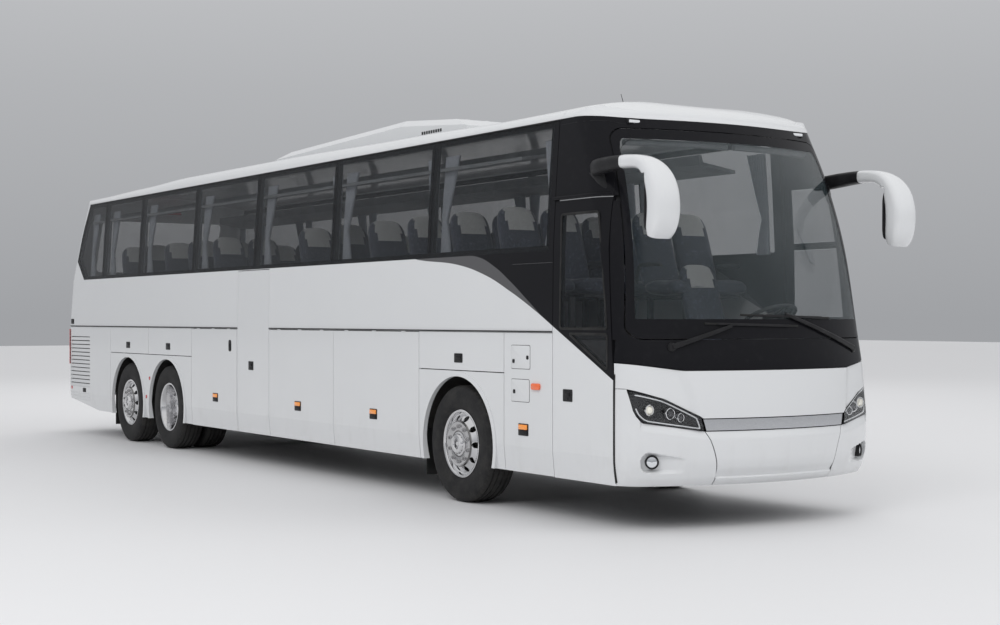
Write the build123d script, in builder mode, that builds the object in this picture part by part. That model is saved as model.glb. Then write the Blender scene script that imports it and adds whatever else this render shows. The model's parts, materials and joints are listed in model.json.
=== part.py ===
from build123d import *
from collections import namedtuple
import math
import os

os.makedirs("parts", exist_ok=True)

# A three-axle touring coach, in millimetres.
# X runs forward, Y to the coach's left, Z up; the origin is on the ground under the middle of the coach.

# Axles and wheels
FRONT_AXLE_X = 4025.0
WHEELBASE = 7050.0
TAG_SPACING = 1400.0
TRACK_HALF = 1100.0
TYRE_RADIUS = 518.0
TYRE_WIDTH = 298.0
RIM_RADIUS = 284.0
FLANGE_RADIUS = 302.0
RIM_WALL = 14.0
TWIN_SPACING = 336.0
HAND_HOLES = 10
HAND_HOLE_RADIUS = 27.0
HAND_HOLE_CIRCLE = 227.0
HUB_BORE = 62.0
SHAFT_CLEARANCE = 0.3

drive_x = FRONT_AXLE_X - WHEELBASE
tag_x = drive_x - TAG_SPACING
twin_inner_y = TRACK_HALF - TWIN_SPACING

# Heights of the body's panel lines
SKIRT_Z = 345.0
TUCK_Z = 560.0
BUMPER_TOP_Z = 760.0
BELT_Z = 1230.0
FLOOR_Z = 1512.0
SILL_Z = 2175.0
MID_WINDOW_Z = 2750.0
WINDOW_TOP_Z = 3240.0
CREST_Z = 3420.0

# The body's plan at each height, a front of one large arc with rounded corners.
# Columns: height, half width, nose ahead of the front axle, radius of the front, tail behind the tag axle
Level = namedtuple("Level", "z half_width nose front_radius tail")
LEVELS = [
    Level(SKIRT_Z, 1255.0, 2770.0, 2600.0, 2510.0),
    Level(TUCK_Z, 1275.0, 2840.0, 2500.0, 2560.0),
    Level(BUMPER_TOP_Z, 1275.0, 2850.0, 2500.0, 2575.0),
    Level(BELT_Z, 1275.0, 2805.0, 2500.0, 2575.0),
    Level(FLOOR_Z, 1275.0, 2748.0, 2500.0, 2575.0),
    Level(SILL_Z, 1268.0, 2605.0, 2600.0, 2450.0),
    Level(MID_WINDOW_Z, 1236.0, 2400.0, 2800.0, 2210.0),
    Level(WINDOW_TOP_Z, 1200.0, 2150.0, 3000.0, 1970.0),
]
FRONT_CORNER = 280.0
TAIL_CORNER = 200.0

# Rails of the front and rear subframes
RAIL_Y = 400.0
RAIL_WIDTH = 70.0
RAIL_LOW_Z = 700.0
RAIL_HEIGHT = 180.0
CROSS_WIDTH = 60.0
CROSS_HEIGHT = 100.0
SUBFRAME_FRONT = 2500.0
TAIL_FRAME = 2350.0

# Thicknesses and gaps
WALL = 45.0
PANEL = 32.0
FLAP = 27.0
GLASS = 8.0
SEAM = 8.0
HINGE_GAP = 0.3
HINGE_PROUD = 2.0
GLASS_LAP = 45.0
PANE_GAP = 10.0
DECK = 60.0
PLATE = 30.0

# Body lengths, measured from the front axle
DOOR_REAR = 1500.0
DOOR_FRONT = 2325.0
DOOR_TOP_FRONT = 2180.0
DOOR_TOP_Z = 2575.0
DOOR_BEND_Z = 1160.0
MID_DOOR_REAR = -4820.0
MID_DOOR_FRONT = -3970.0
MID_DOOR_TOP_Z = 2165.0
BAY_SPLIT = -2415.0
FRONT_HOUSING_REAR = -670.0
FRONT_HOUSING_FRONT = 776.0
REAR_BAY_REAR = -6207.0
REAR_BAY_FRONT = -4850.0

# Wheel arches
ARCH_RADIUS = 598.0
ARCH_PANEL_Z = 1168.0
HOUSING_RADIUS = 665.0
HOUSING_WALL = 12.0
HOUSING_INNER_Y = 520.0
TWIN_HOUSING_INNER_Y = 560.0
LOUVRE_REAR = 2370.0
LOUVRE_FRONT = 1530.0
LOUVRE_LOW_Z = 660.0
LOUVRE_HIGH_Z = 1373.0
LOUVRE_SLATS = 13

# Where the side panes end, measured from the front axle
PANE_ENDS = [1435.0, -505.0, -2467.0, -4381.0, -6191.0, -8054.0, -9472.0]


def ahead(distance):
    """X of a place given by its distance ahead of the front axle."""
    return FRONT_AXLE_X + distance


def tail_of(level):
    """X of the rear of the body at a level."""
    return tag_x - level.tail


def seam_of(level):
    """X where the rear corner begins on the side of the body at a level."""
    return tail_of(level) + TAIL_CORNER


def half_width_at(z):
    """Half the width of the body's side at a height."""
    for low, high in zip(LEVELS, LEVELS[1:]):
        if z <= high.z:
            share = (z - low.z) / (high.z - low.z)
            return low.half_width + share * (high.half_width - low.half_width)
    return LEVELS[-1].half_width


NOSE_START = FRONT_AXLE_X + DOOR_REAR
TAIL_START = tag_x - 1500.0


def nose_plan(level, inset):
    """Plan of the front of the body at one level, open to the rear at NOSE_START."""
    half = level.half_width - inset
    front = ahead(level.nose) - inset
    radius = level.front_radius - inset
    corner = FRONT_CORNER - inset
    centre_x = front - radius
    centre_y = half - corner
    corner_x = centre_x + math.sqrt((radius - corner) ** 2 - centre_y**2)
    turn = math.atan2(centre_y, corner_x - centre_x)
    middle = (math.pi / 2 + turn) / 2
    end_x = centre_x + radius * math.cos(turn)
    end_y = radius * math.sin(turn)
    mid_x = corner_x + corner * math.cos(middle)
    mid_y = centre_y + corner * math.sin(middle)
    start = NOSE_START - (10.0 if inset else 0.0)
    with BuildSketch(Plane.XY.offset(level.z)) as plan:
        with BuildLine():
            Line((start, half), (corner_x, half))
            ThreePointArc((corner_x, half), (mid_x, mid_y), (end_x, end_y))
            ThreePointArc((end_x, end_y), (front, 0), (end_x, -end_y))
            ThreePointArc((end_x, -end_y), (mid_x, -mid_y), (corner_x, -half))
            Line((corner_x, -half), (start, -half))
            Line((start, -half), (start, half))
        make_face()
    return plan.sketch


def tail_plan(level, inset):
    """Plan of the rear of the body at one level, open to the front at TAIL_START."""
    half = level.half_width - inset
    rear = tail_of(level) + inset
    corner = TAIL_CORNER - inset
    bend = corner * (1 - math.sqrt(0.5))
    start = TAIL_START + (10.0 if inset else 0.0)
    with BuildSketch(Plane.XY.offset(level.z)) as plan:
        with BuildLine():
            Line((start, -half), (rear + corner, -half))
            ThreePointArc((rear + corner, -half), (rear + bend, -half + bend), (rear, -half + corner))
            Line((rear, -half + corner), (rear, half - corner))
            ThreePointArc((rear, half - corner), (rear + bend, half - bend), (rear + corner, half))
            Line((rear + corner, half), (start, half))
            Line((start, half), (start, -half))
        make_face()
    return plan.sketch


def body_end(plan, inset, low_z, high_z):
    """Solid of one end of the body between two levels, set in from its skin."""
    levels = [level for level in LEVELS if low_z <= level.z <= high_z]
    with BuildPart() as block:
        loft([plan(level, inset) for level in levels], ruled=True)
    return block.part


def side_section(side, outer, inner, low_z, high_z, x):
    """Section of the side of the body between two insets, on a plane across the coach."""
    heights = [low_z] + [level.z for level in LEVELS if low_z < level.z < high_z] + [high_z]
    skin = [(side * (half_width_at(z) - outer), z) for z in heights]
    back = [(side * (half_width_at(z) - inner), z) for z in reversed(heights)]
    with BuildSketch(Plane.YZ.offset(x)) as section:
        with BuildLine():
            Polyline(*skin, *back, close=True)
        make_face()
    return section.sketch


def side_outline(points, y=0.0):
    """Outline on a plane along the coach at y, from points of X and Z."""
    with BuildSketch(Plane.XZ.offset(-y)) as outline:
        with BuildLine():
            Polyline(*points, close=True)
        make_face()
    return outline.sketch


def side_rectangle(x_rear, x_front, z_low, z_high):
    """Rectangle on the coach's centre plane."""
    return side_outline([(x_rear, z_low), (x_front, z_low), (x_front, z_high), (x_rear, z_high)])


def save(part, name):
    """Label a finished piece and write it."""
    part.label = name
    export_step(part, f"parts/{name}.step")


REACH = 2000.0

# Outer skin, glass seat and inner face of the front and the rear of the body
nose_outer = body_end(nose_plan, 0, SKIRT_Z, WINDOW_TOP_Z)
nose_glass = body_end(nose_plan, GLASS, SKIRT_Z, WINDOW_TOP_Z)
nose_inner = body_end(nose_plan, WALL, SKIRT_Z, WINDOW_TOP_Z)
tail_outer = body_end(tail_plan, 0, SKIRT_Z, WINDOW_TOP_Z)
tail_glass = body_end(tail_plan, GLASS, SKIRT_Z, WINDOW_TOP_Z)
tail_inner = body_end(tail_plan, WALL, SKIRT_Z, WINDOW_TOP_Z)
nose_shell = nose_outer - nose_inner
nose_skin = nose_outer - nose_glass
tail_shell = tail_outer - tail_inner
tail_skin = tail_outer - tail_glass

# Entrance door outline with its bent front edge, and the wider opening it closes
door_rear_x = ahead(DOOR_REAR)
door_front_x = ahead(DOOR_FRONT)
door_points = [
    (door_rear_x + SEAM / 2, SKIRT_Z),
    (door_front_x - SEAM / 2, SKIRT_Z),
    (door_front_x - SEAM / 2, DOOR_BEND_Z),
    (ahead(DOOR_TOP_FRONT) - SEAM / 2, DOOR_TOP_Z - SEAM / 2),
    (door_rear_x + SEAM / 2, DOOR_TOP_Z - SEAM / 2),
]
doorway_points = [
    (door_rear_x - 1, SKIRT_Z - 1),
    (door_front_x + SEAM / 2, SKIRT_Z - 1),
    (door_front_x + SEAM / 2, DOOR_BEND_Z),
    (ahead(DOOR_TOP_FRONT) + SEAM / 2, DOOR_TOP_Z + SEAM / 2),
    (door_rear_x - 1, DOOR_TOP_Z + SEAM / 2),
]
DOOR_RAIL_LOW_Z = 1505.0
DOOR_RAIL_HIGH_Z = 1545.0

# Panes of the entrance door: a tall one, and a small one under the rail with a slanting lower edge
door_pane_points = [
    [
        (ahead(1605.0), DOOR_RAIL_HIGH_Z), (ahead(2239.0), DOOR_RAIL_HIGH_Z),
        (ahead(2095.0), DOOR_TOP_Z - 115), (ahead(1605.0), DOOR_TOP_Z - 115),
    ],
    [(ahead(1730.0), DOOR_RAIL_LOW_Z), (ahead(2240.0), DOOR_RAIL_LOW_Z), (ahead(2240.0), 1230.0)],
]

# Swing arm of the entrance door: a post inside the doorway's front edge, with arms to the door's foot and rail
POST_AHEAD = 2190.0
POST_Y = -1040.0
POST_RADIUS = 26.0
ARM_LENGTH = 500.0
ARM_WIDTH = 40.0
ARM_HEIGHT = 30.0
BRACKET_CLEARANCE = 0.5
BRACKET_PLATE = 20.0
ARM_LEVELS = [560.0, DOOR_RAIL_HIGH_Z - 10]
POST_HIGH_Z = 1620.0
PLATFORM_Z = 1020.0
ENTRY_LOW_Z = 400.0
POST_LOW_Z = ENTRY_LOW_Z + HINGE_GAP
PIN_RADIUS = 12.0
post_x = ahead(POST_AHEAD)
door_pin_x = post_x - ARM_LENGTH

with BuildPart() as door_arm:
    with BuildSketch(Plane.XY.offset(POST_LOW_Z)):
        with Locations((post_x, POST_Y)):
            Circle(POST_RADIUS)
    extrude(amount=POST_HIGH_Z - POST_LOW_Z)
    for level_z in ARM_LEVELS:
        with BuildSketch(Plane.XY.offset(level_z)):
            with Locations(((post_x + door_pin_x) / 2, POST_Y)):
                SlotCenterToCenter(ARM_LENGTH, ARM_WIDTH)
        extrude(amount=ARM_HEIGHT)
        with BuildSketch(Plane.XY.offset(level_z - ARM_HEIGHT)):
            with Locations((door_pin_x, POST_Y)):
                Circle(PIN_RADIUS)
        extrude(amount=ARM_HEIGHT)
save(door_arm.part, "door_arm")

BRACKET_WIDTH = 70.0
with BuildPart() as front_door:
    add(nose_shell)
    extrude(side_outline(door_points), amount=REACH, mode=Mode.INTERSECT)
    for level_z in ARM_LEVELS:
        bracket_reach = half_width_at(level_z) - WALL + POST_Y + 10
        with BuildSketch(Plane.XY.offset(level_z - BRACKET_CLEARANCE)):
            with Locations((door_pin_x, POST_Y)):
                Circle(BRACKET_WIDTH / 2)
            with Locations((door_pin_x, POST_Y - bracket_reach / 2)):
                Rectangle(BRACKET_WIDTH, bracket_reach)
            with Locations((door_pin_x, POST_Y)):
                Circle(PIN_RADIUS + SHAFT_CLEARANCE, mode=Mode.SUBTRACT)
        extrude(amount=-BRACKET_PLATE)
    for corners in door_pane_points:
        extrude(side_outline(corners), amount=REACH, mode=Mode.SUBTRACT)
save(front_door.part, "front_door")

with BuildPart() as front_door_glass:
    add(nose_skin)
    with BuildSketch(Plane.XZ):
        for corners in door_pane_points:
            add(side_outline(corners))
    extrude(amount=REACH, mode=Mode.INTERSECT)
save(front_door_glass.part, "front_door_glass")

# Windscreen outline seen from the front
SCREEN_LOW_Z = 1467.0
SCREEN_HIGH_Z = 3130.0
SCREEN_LOW_Y = 1228.0
SCREEN_HIGH_Y = 1090.0
SCREEN_CORNER = 110.0


def screen_outline(margin):
    """Windscreen outline on a plane across the coach, made smaller by a margin."""
    with BuildSketch(Plane.YZ.offset(ahead(1600.0))) as outline:
        with BuildLine():
            Polyline(
                (-SCREEN_LOW_Y + margin, SCREEN_LOW_Z + margin),
                (SCREEN_LOW_Y - margin, SCREEN_LOW_Z + margin),
                (SCREEN_HIGH_Y - margin, SCREEN_HIGH_Z - margin),
                (-SCREEN_HIGH_Y + margin, SCREEN_HIGH_Z - margin),
                close=True,
            )
        make_face()
        chamfer(outline.vertices(), (SCREEN_CORNER - margin) / 2)
    return outline.sketch


with BuildPart() as windscreen:
    add(nose_skin)
    extrude(screen_outline(0), amount=REACH, mode=Mode.INTERSECT)
save(windscreen.part, "windscreen")

# Driver's window on the left, a low square pane and a small one above it
driver_pane_points = [
    [(1590.0, 1640.0), (2190.0, 1640.0), (2120.0, 2230.0), (1590.0, 2230.0)],
    [(1590.0, 2290.0), (2105.0, 2290.0), (2040.0, 2760.0), (1590.0, 2760.0)],
]
with BuildPart() as driver_panes:
    add(nose_skin)
    with BuildSketch(Plane.XZ):
        for corners in driver_pane_points:
            with BuildLine():
                Polyline(*[(ahead(x), z) for x, z in corners], close=True)
            make_face()
    extrude(amount=-REACH, mode=Mode.INTERSECT)
save(driver_panes.part, "driver_windows")

CORNER_SEAM_X = door_front_x + SEAM / 2
with BuildPart() as front_mask:
    add(nose_shell)
    with BuildSketch(Plane.XZ):
        with BuildLine():
            Polyline(
                (NOSE_START - 20, FLOOR_Z),
                (CORNER_SEAM_X, FLOOR_Z),
                (CORNER_SEAM_X, BELT_Z + SEAM / 2),
                (NOSE_START + 2000, BELT_Z + SEAM / 2),
                (NOSE_START + 2000, WINDOW_TOP_Z),
                (NOSE_START - 20, WINDOW_TOP_Z),
                close=True,
            )
        make_face()
    extrude(amount=REACH, both=True, mode=Mode.INTERSECT)
    extrude(side_outline(doorway_points), amount=REACH, mode=Mode.SUBTRACT)
    add(windscreen.part, mode=Mode.SUBTRACT)
    add(driver_panes.part, mode=Mode.SUBTRACT)
    extrude(screen_outline(GLASS_LAP), amount=REACH, mode=Mode.SUBTRACT)
    with BuildSketch(Plane.XZ):
        for corners in driver_pane_points:
            with BuildLine():
                Polyline(*[(ahead(x), z) for x, z in corners], close=True)
            make_face()
            offset(amount=-GLASS_LAP, kind=Kind.INTERSECTION, mode=Mode.REPLACE)
    extrude(amount=-REACH, mode=Mode.SUBTRACT)
save(front_mask.part, "front_mask")

# Head lamps, long lenses slanting down towards the middle, each outline given as Y and Z
HEAD_LAMP_POINTS = [
    (1237.0, 1076.0), (1013.0, 1013.0), (754.0, 877.0), (730.0, 771.0), (1166.0, 837.0), (1216.0, 926.0),
]
FOG_LAMP_Y = 1090.0
FOG_LAMP_Z = 535.0
FOG_LAMP_RADIUS = 48.0
with BuildPart() as front_lamps:
    add(nose_skin)
    with BuildSketch(Plane.YZ.offset(ahead(2340.0))):
        for side in (-1, 1):
            with BuildLine():
                Polyline(*[(side * y, z) for y, z in HEAD_LAMP_POINTS], close=True)
            make_face()
            with Locations((side * FOG_LAMP_Y, FOG_LAMP_Z)):
                Circle(FOG_LAMP_RADIUS)
    extrude(amount=REACH, mode=Mode.INTERSECT)
save(front_lamps.part, "front_lamps")

# Bright strip between the head lamps, let into the front panel's lower edge
STRIP_HIGH_Z = 862.0
STRIP_LOW_Y = 712.0
STRIP_HIGH_Y = 736.0
with BuildPart() as bright_strip:
    add(nose_skin)
    with BuildSketch(Plane.YZ.offset(ahead(2340.0))):
        with BuildLine():
            Polyline(
                (-STRIP_LOW_Y, BUMPER_TOP_Z + SEAM / 2), (STRIP_LOW_Y, BUMPER_TOP_Z + SEAM / 2),
                (STRIP_HIGH_Y, STRIP_HIGH_Z), (-STRIP_HIGH_Y, STRIP_HIGH_Z),
                close=True,
            )
        make_face()
    extrude(amount=REACH, mode=Mode.INTERSECT)
save(bright_strip.part, "bright_strip")

# Both front mouldings stand on brackets from the ends of the front rails
nose_reach = LEVELS[2].nose - WALL - SUBFRAME_FRONT - 15
with BuildPart() as front_panel:
    add(nose_shell)
    extrude(
        side_rectangle(CORNER_SEAM_X, NOSE_START + 2000, BUMPER_TOP_Z + SEAM / 2, BELT_Z - SEAM / 2),
        amount=REACH,
        both=True,
        mode=Mode.INTERSECT,
    )
    add(front_lamps.part, mode=Mode.SUBTRACT)
    add(bright_strip.part, mode=Mode.SUBTRACT)
    for side in (-1, 1):
        with BuildSketch(Plane.YZ.offset(ahead(SUBFRAME_FRONT))):
            with Locations((side * RAIL_Y, BUMPER_TOP_Z + 70)):
                Rectangle(RAIL_WIDTH - 10, 80)
        extrude(amount=nose_reach)
save(front_panel.part, "front_panel")

# Grooves mark the bumper's corner pieces off from its middle
GROOVE_LOW_Y = 600.0
GROOVE_HIGH_Y = 738.0
with BuildPart() as bumper_grooves:
    add(nose_skin)
    with BuildSketch(Plane.YZ.offset(ahead(2340.0))):
        for side in (-1, 1):
            with BuildLine():
                Polyline(
                    (side * GROOVE_LOW_Y, SKIRT_Z), (side * (GROOVE_LOW_Y + SEAM), SKIRT_Z),
                    (side * (GROOVE_HIGH_Y + SEAM), BUMPER_TOP_Z), (side * GROOVE_HIGH_Y, BUMPER_TOP_Z),
                    close=True,
                )
            make_face()
    extrude(amount=REACH, mode=Mode.INTERSECT)

with BuildPart() as front_bumper:
    add(nose_shell)
    extrude(
        side_rectangle(CORNER_SEAM_X, NOSE_START + 2000, SKIRT_Z, BUMPER_TOP_Z - SEAM / 2),
        amount=REACH,
        both=True,
        mode=Mode.INTERSECT,
    )
    add(front_lamps.part, mode=Mode.SUBTRACT)
    add(bumper_grooves.part, mode=Mode.SUBTRACT)
    for side in (-1, 1):
        with BuildSketch(Plane.YZ.offset(ahead(SUBFRAME_FRONT))):
            with Locations((side * RAIL_Y, (RAIL_LOW_Z + BUMPER_TOP_Z - SEAM / 2) / 2)):
                Rectangle(RAIL_WIDTH - 10, BUMPER_TOP_Z - SEAM / 2 - RAIL_LOW_Z)
        extrude(amount=nose_reach)
save(front_bumper.part, "front_bumper")

# Engine lid on the flat of the tail
LID_LOW_Z = 720.0
LID_HIGH_Z = 1500.0
LID_HALF_WIDTH = 900.0
LID_BARREL = 120.0
with BuildPart() as engine_lid:
    add(tail_shell)
    with BuildSketch(Plane.YZ.offset(TAIL_START)):
        with Locations((0, (LID_LOW_Z + LID_HIGH_Z) / 2)):
            Rectangle(2 * LID_HALF_WIDTH, LID_HIGH_Z - LID_LOW_Z)
    extrude(amount=-REACH, mode=Mode.INTERSECT)
    lid_hinge_x = tail_of(LEVELS[3]) - HINGE_PROUD
    for barrel_y in (-600.0, 0.0, 600.0):
        with BuildSketch(Plane.XZ.offset(-barrel_y - LID_BARREL / 2)):
            with Locations((lid_hinge_x, LID_HIGH_Z + SEAM / 2)):
                Circle(SEAM / 2 - HINGE_GAP)
            with Locations((lid_hinge_x + HINGE_PROUD / 2, LID_HIGH_Z)):
                Rectangle(HINGE_PROUD + 1, SEAM)
        extrude(amount=LID_BARREL)
save(engine_lid.part, "engine_lid")

# Rear window
REAR_WINDOW_LOW_Z = 2260.0
REAR_WINDOW_HIGH_Z = 3080.0
REAR_WINDOW_HALF = 960.0
REAR_WINDOW_CORNER = 110.0


def rear_window_outline(margin):
    """Rear window outline on a plane across the coach, made smaller by a margin."""
    with BuildSketch(Plane.YZ.offset(TAIL_START)) as outline:
        with Locations((0, (REAR_WINDOW_LOW_Z + REAR_WINDOW_HIGH_Z) / 2)):
            RectangleRounded(
                2 * (REAR_WINDOW_HALF - margin),
                REAR_WINDOW_HIGH_Z - REAR_WINDOW_LOW_Z - 2 * margin,
                REAR_WINDOW_CORNER - margin,
            )
    return outline.sketch


with BuildPart() as rear_window:
    add(tail_skin)
    extrude(rear_window_outline(0), amount=-REACH, mode=Mode.INTERSECT)

# Tail lamps, upright strips on the rear corners
TAIL_LAMP_LOW_Z = 970.0
TAIL_LAMP_HIGH_Z = 1480.0
TAIL_LAMP_INNER_Y = 1090.0
TAIL_LAMP_OUTER_Y = 1238.0
with BuildPart() as tail_lamps:
    add(tail_skin)
    with BuildSketch(Plane.YZ.offset(seam_of(LEVELS[3]))):
        for side in (-1, 1):
            with Locations(
                (side * (TAIL_LAMP_INNER_Y + TAIL_LAMP_OUTER_Y) / 2, (TAIL_LAMP_LOW_Z + TAIL_LAMP_HIGH_Z) / 2)
            ):
                Rectangle(TAIL_LAMP_OUTER_Y - TAIL_LAMP_INNER_Y, TAIL_LAMP_HIGH_Z - TAIL_LAMP_LOW_Z)
    extrude(amount=-REACH, mode=Mode.INTERSECT)
save(tail_lamps.part, "tail_lamps")

# The rear wall's side seams lean forward with the corner, so its outline follows the levels
TAIL_BUMPER_Z = 700.0
BUMPER_BRACKET = 250.0
BUMPER_BRACKET_HEIGHT = 60.0
seam_points = [(seam_of(level), level.z) for level in LEVELS if level.z >= FLOOR_Z]
with BuildPart() as rear_wall:
    add(tail_shell)
    with BuildSketch(Plane.XZ):
        with BuildLine():
            Polyline(
                (tag_x - 3000, TAIL_BUMPER_Z + SEAM / 2),
                (seam_of(LEVELS[3]), TAIL_BUMPER_Z + SEAM / 2),
                *seam_points,
                (tag_x - 3000, WINDOW_TOP_Z),
                close=True,
            )
        make_face()
    extrude(amount=REACH, both=True, mode=Mode.INTERSECT)
    with BuildSketch(Plane.YZ.offset(TAIL_START)):
        with Locations((0, (LID_LOW_Z + LID_HIGH_Z) / 2)):
            Rectangle(2 * (LID_HALF_WIDTH + SEAM), LID_HIGH_Z - LID_LOW_Z + 2 * SEAM)
    extrude(amount=-REACH, mode=Mode.SUBTRACT)
    add(rear_window.part, mode=Mode.SUBTRACT)
    add(tail_lamps.part, mode=Mode.SUBTRACT)
    extrude(rear_window_outline(GLASS_LAP), amount=-REACH, mode=Mode.SUBTRACT)
save(rear_wall.part, "rear_wall")

# Underside of the tail rises towards the rear
RISE_START = 1150.0
RISE_END = 2600.0
RISE_HEIGHT = 165.0
rise_points = [
    (tag_x - RISE_START, SKIRT_Z),
    (tag_x - RISE_END, SKIRT_Z + RISE_HEIGHT),
    (tag_x - RISE_END, SKIRT_Z - 10),
    (tag_x - RISE_START, SKIRT_Z - 10),
]
with BuildPart() as rear_bumper:
    add(tail_shell)
    extrude(
        side_rectangle(tag_x - 3000, seam_of(LEVELS[3]), SKIRT_Z, TAIL_BUMPER_Z - SEAM / 2),
        amount=REACH,
        both=True,
        mode=Mode.INTERSECT,
    )
    extrude(side_outline(rise_points), amount=REACH, both=True, mode=Mode.SUBTRACT)
    for side in (-1, 1):
        with BuildSketch(Plane.XY.offset(RAIL_LOW_Z)):
            with Locations((tag_x - TAIL_FRAME - BUMPER_BRACKET / 2 + 60, side * RAIL_Y)):
                Rectangle(BUMPER_BRACKET, RAIL_WIDTH)
        extrude(amount=-BUMPER_BRACKET_HEIGHT)
save(rear_bumper.part, "rear_bumper")

# Window walls along the sides, with the panes seated in a recess as deep as the glass
BAND_FRONT = ahead(PANE_ENDS[0])
BAND_TIP_Z = 2490.0
BAND_LOW_REAR = -10250.0
BAND_TIP_REAR = -10560.0
BAND_HIGH_REAR = -10180.0
PANE_MARGIN = 6.0
PANE_HIGH_Z = 3228.0
pane_ends = [ahead(x) for x in PANE_ENDS]
panes = [
    [(rear + PANE_GAP / 2, SILL_Z), (front - PANE_GAP / 2, SILL_Z),
     (front - PANE_GAP / 2, PANE_HIGH_Z), (rear + PANE_GAP / 2, PANE_HIGH_Z)]
    for front, rear in zip(pane_ends, pane_ends[1:])
]
panes.append(
    [(ahead(BAND_LOW_REAR), SILL_Z), (pane_ends[-1] - PANE_GAP / 2, SILL_Z),
     (pane_ends[-1] - PANE_GAP / 2, PANE_HIGH_Z), (ahead(BAND_HIGH_REAR), PANE_HIGH_Z),
     (ahead(BAND_TIP_REAR), BAND_TIP_Z)]
)


def pane_sketch(margin):
    """Outlines of all side panes on the centre plane, made smaller by a margin."""
    with BuildSketch(Plane.XZ) as outlines:
        for corners in panes:
            with BuildLine():
                Polyline(*corners, close=True)
            make_face()
        if margin:
            offset(amount=-margin, kind=Kind.INTERSECTION, mode=Mode.REPLACE)
    return outlines.sketch


wall_rear_x = seam_of(LEVELS[3]) - 300
with BuildPart() as side_panes:
    extrude(
        side_section(-1, 0, GLASS, FLOOR_Z, WINDOW_TOP_Z, wall_rear_x),
        amount=door_rear_x - wall_rear_x,
    )
    extrude(pane_sketch(0), amount=REACH, mode=Mode.INTERSECT)

with BuildPart() as side_wall_left_flat:
    extrude(
        side_section(-1, 0, WALL, FLOOR_Z, WINDOW_TOP_Z, wall_rear_x),
        amount=door_rear_x - wall_rear_x - SEAM / 2,
    )
    with BuildSketch(Plane.XZ):
        with BuildLine():
            Polyline((wall_rear_x - 900, FLOOR_Z), *seam_points, (wall_rear_x - 900, WINDOW_TOP_Z), close=True)
        make_face()
    extrude(amount=REACH, mode=Mode.SUBTRACT)
    add(side_panes.part, mode=Mode.SUBTRACT)
    extrude(pane_sketch(GLASS_LAP), amount=REACH, mode=Mode.SUBTRACT)

mid_door_rear_x = ahead(MID_DOOR_REAR)
mid_door_front_x = ahead(MID_DOOR_FRONT)
with BuildPart() as side_wall_right:
    add(side_wall_left_flat.part)
    extrude(
        side_rectangle(mid_door_rear_x, mid_door_front_x, FLOOR_Z - 10, MID_DOOR_TOP_Z + SEAM / 2),
        amount=REACH,
        mode=Mode.SUBTRACT,
    )
save(side_wall_right.part, "side_wall_right")

with BuildPart() as side_wall_left:
    add(side_wall_left_flat.part)
    mirror(about=Plane.XZ, mode=Mode.REPLACE)
save(side_wall_left.part, "side_wall_left")

with BuildPart() as windows:
    add(side_panes.part)
    mirror(about=Plane.XZ)
    add(rear_window.part)
save(windows.part, "windows")

# Middle door, one panel from the skirt up to the window band, with hinge barrels on its rear edge
MID_DOOR_BARRELS = [620.0, 950.0, 1300.0]
BARREL_LENGTH = 110.0
with BuildPart() as mid_door:
    extrude(
        side_section(-1, 0, FLAP, SKIRT_Z, MID_DOOR_TOP_Z - SEAM / 2, mid_door_rear_x + SEAM / 2),
        amount=mid_door_front_x - mid_door_rear_x - SEAM,
    )
    hinge_y = -half_width_at(BELT_Z) - HINGE_PROUD
    for barrel_z in MID_DOOR_BARRELS:
        with BuildSketch(Plane.XY.offset(barrel_z)):
            with Locations((mid_door_rear_x, hinge_y)):
                Circle(SEAM / 2 - HINGE_GAP)
            with Locations((mid_door_rear_x + SEAM / 2, hinge_y + HINGE_PROUD / 2)):
                Rectangle(SEAM, HINGE_PROUD + 1)
        extrude(amount=BARREL_LENGTH)
save(mid_door.part, "mid_door")

# Luggage flaps, hinged along their top edge on short barrels.
# Columns: name, rear end and front end measured from the front axle
FLAPS = [
    ("front", BAY_SPLIT, FRONT_HOUSING_REAR),
    ("middle", MID_DOOR_FRONT, BAY_SPLIT),
    ("rear", REAR_BAY_REAR, REAR_BAY_FRONT),
]
FLAP_TOP_Z = FLOOR_Z - SEAM
HINGE_LUGS = 3
HINGE_LUG_LENGTH = 70.0
HINGE_LUG_HEIGHT = 34.0
for side_name, side in [("right", -1), ("left", 1)]:
    for flap_name, rear, front in FLAPS:
        with BuildPart() as luggage_flap:
            extrude(
                side_section(side, 0, FLAP, SKIRT_Z, FLAP_TOP_Z, ahead(rear) + SEAM / 2),
                amount=front - rear - SEAM,
            )
            for lug in range(HINGE_LUGS):
                lug_x = ahead(rear) + (lug + 0.5) / HINGE_LUGS * (front - rear) - HINGE_LUG_LENGTH / 2
                extrude(
                    side_section(
                        side, FLAP - 1, PANEL - HINGE_GAP, FLAP_TOP_Z - HINGE_LUG_HEIGHT, FLAP_TOP_Z, lug_x
                    ),
                    amount=HINGE_LUG_LENGTH,
                )
                with BuildSketch(Plane.YZ.offset(lug_x)):
                    with Locations((side * (half_width_at(FLAP_TOP_Z) + HINGE_PROUD), FLAP_TOP_Z + SEAM / 2)):
                        Circle(SEAM / 2 - HINGE_GAP)
                    with Locations((side * (half_width_at(FLAP_TOP_Z) + HINGE_PROUD / 2), FLAP_TOP_Z)):
                        Rectangle(HINGE_PROUD + 1, SEAM)
                extrude(amount=HINGE_LUG_LENGTH)
        save(luggage_flap.part, f"luggage_flap_{flap_name}_{side_name}")

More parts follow.
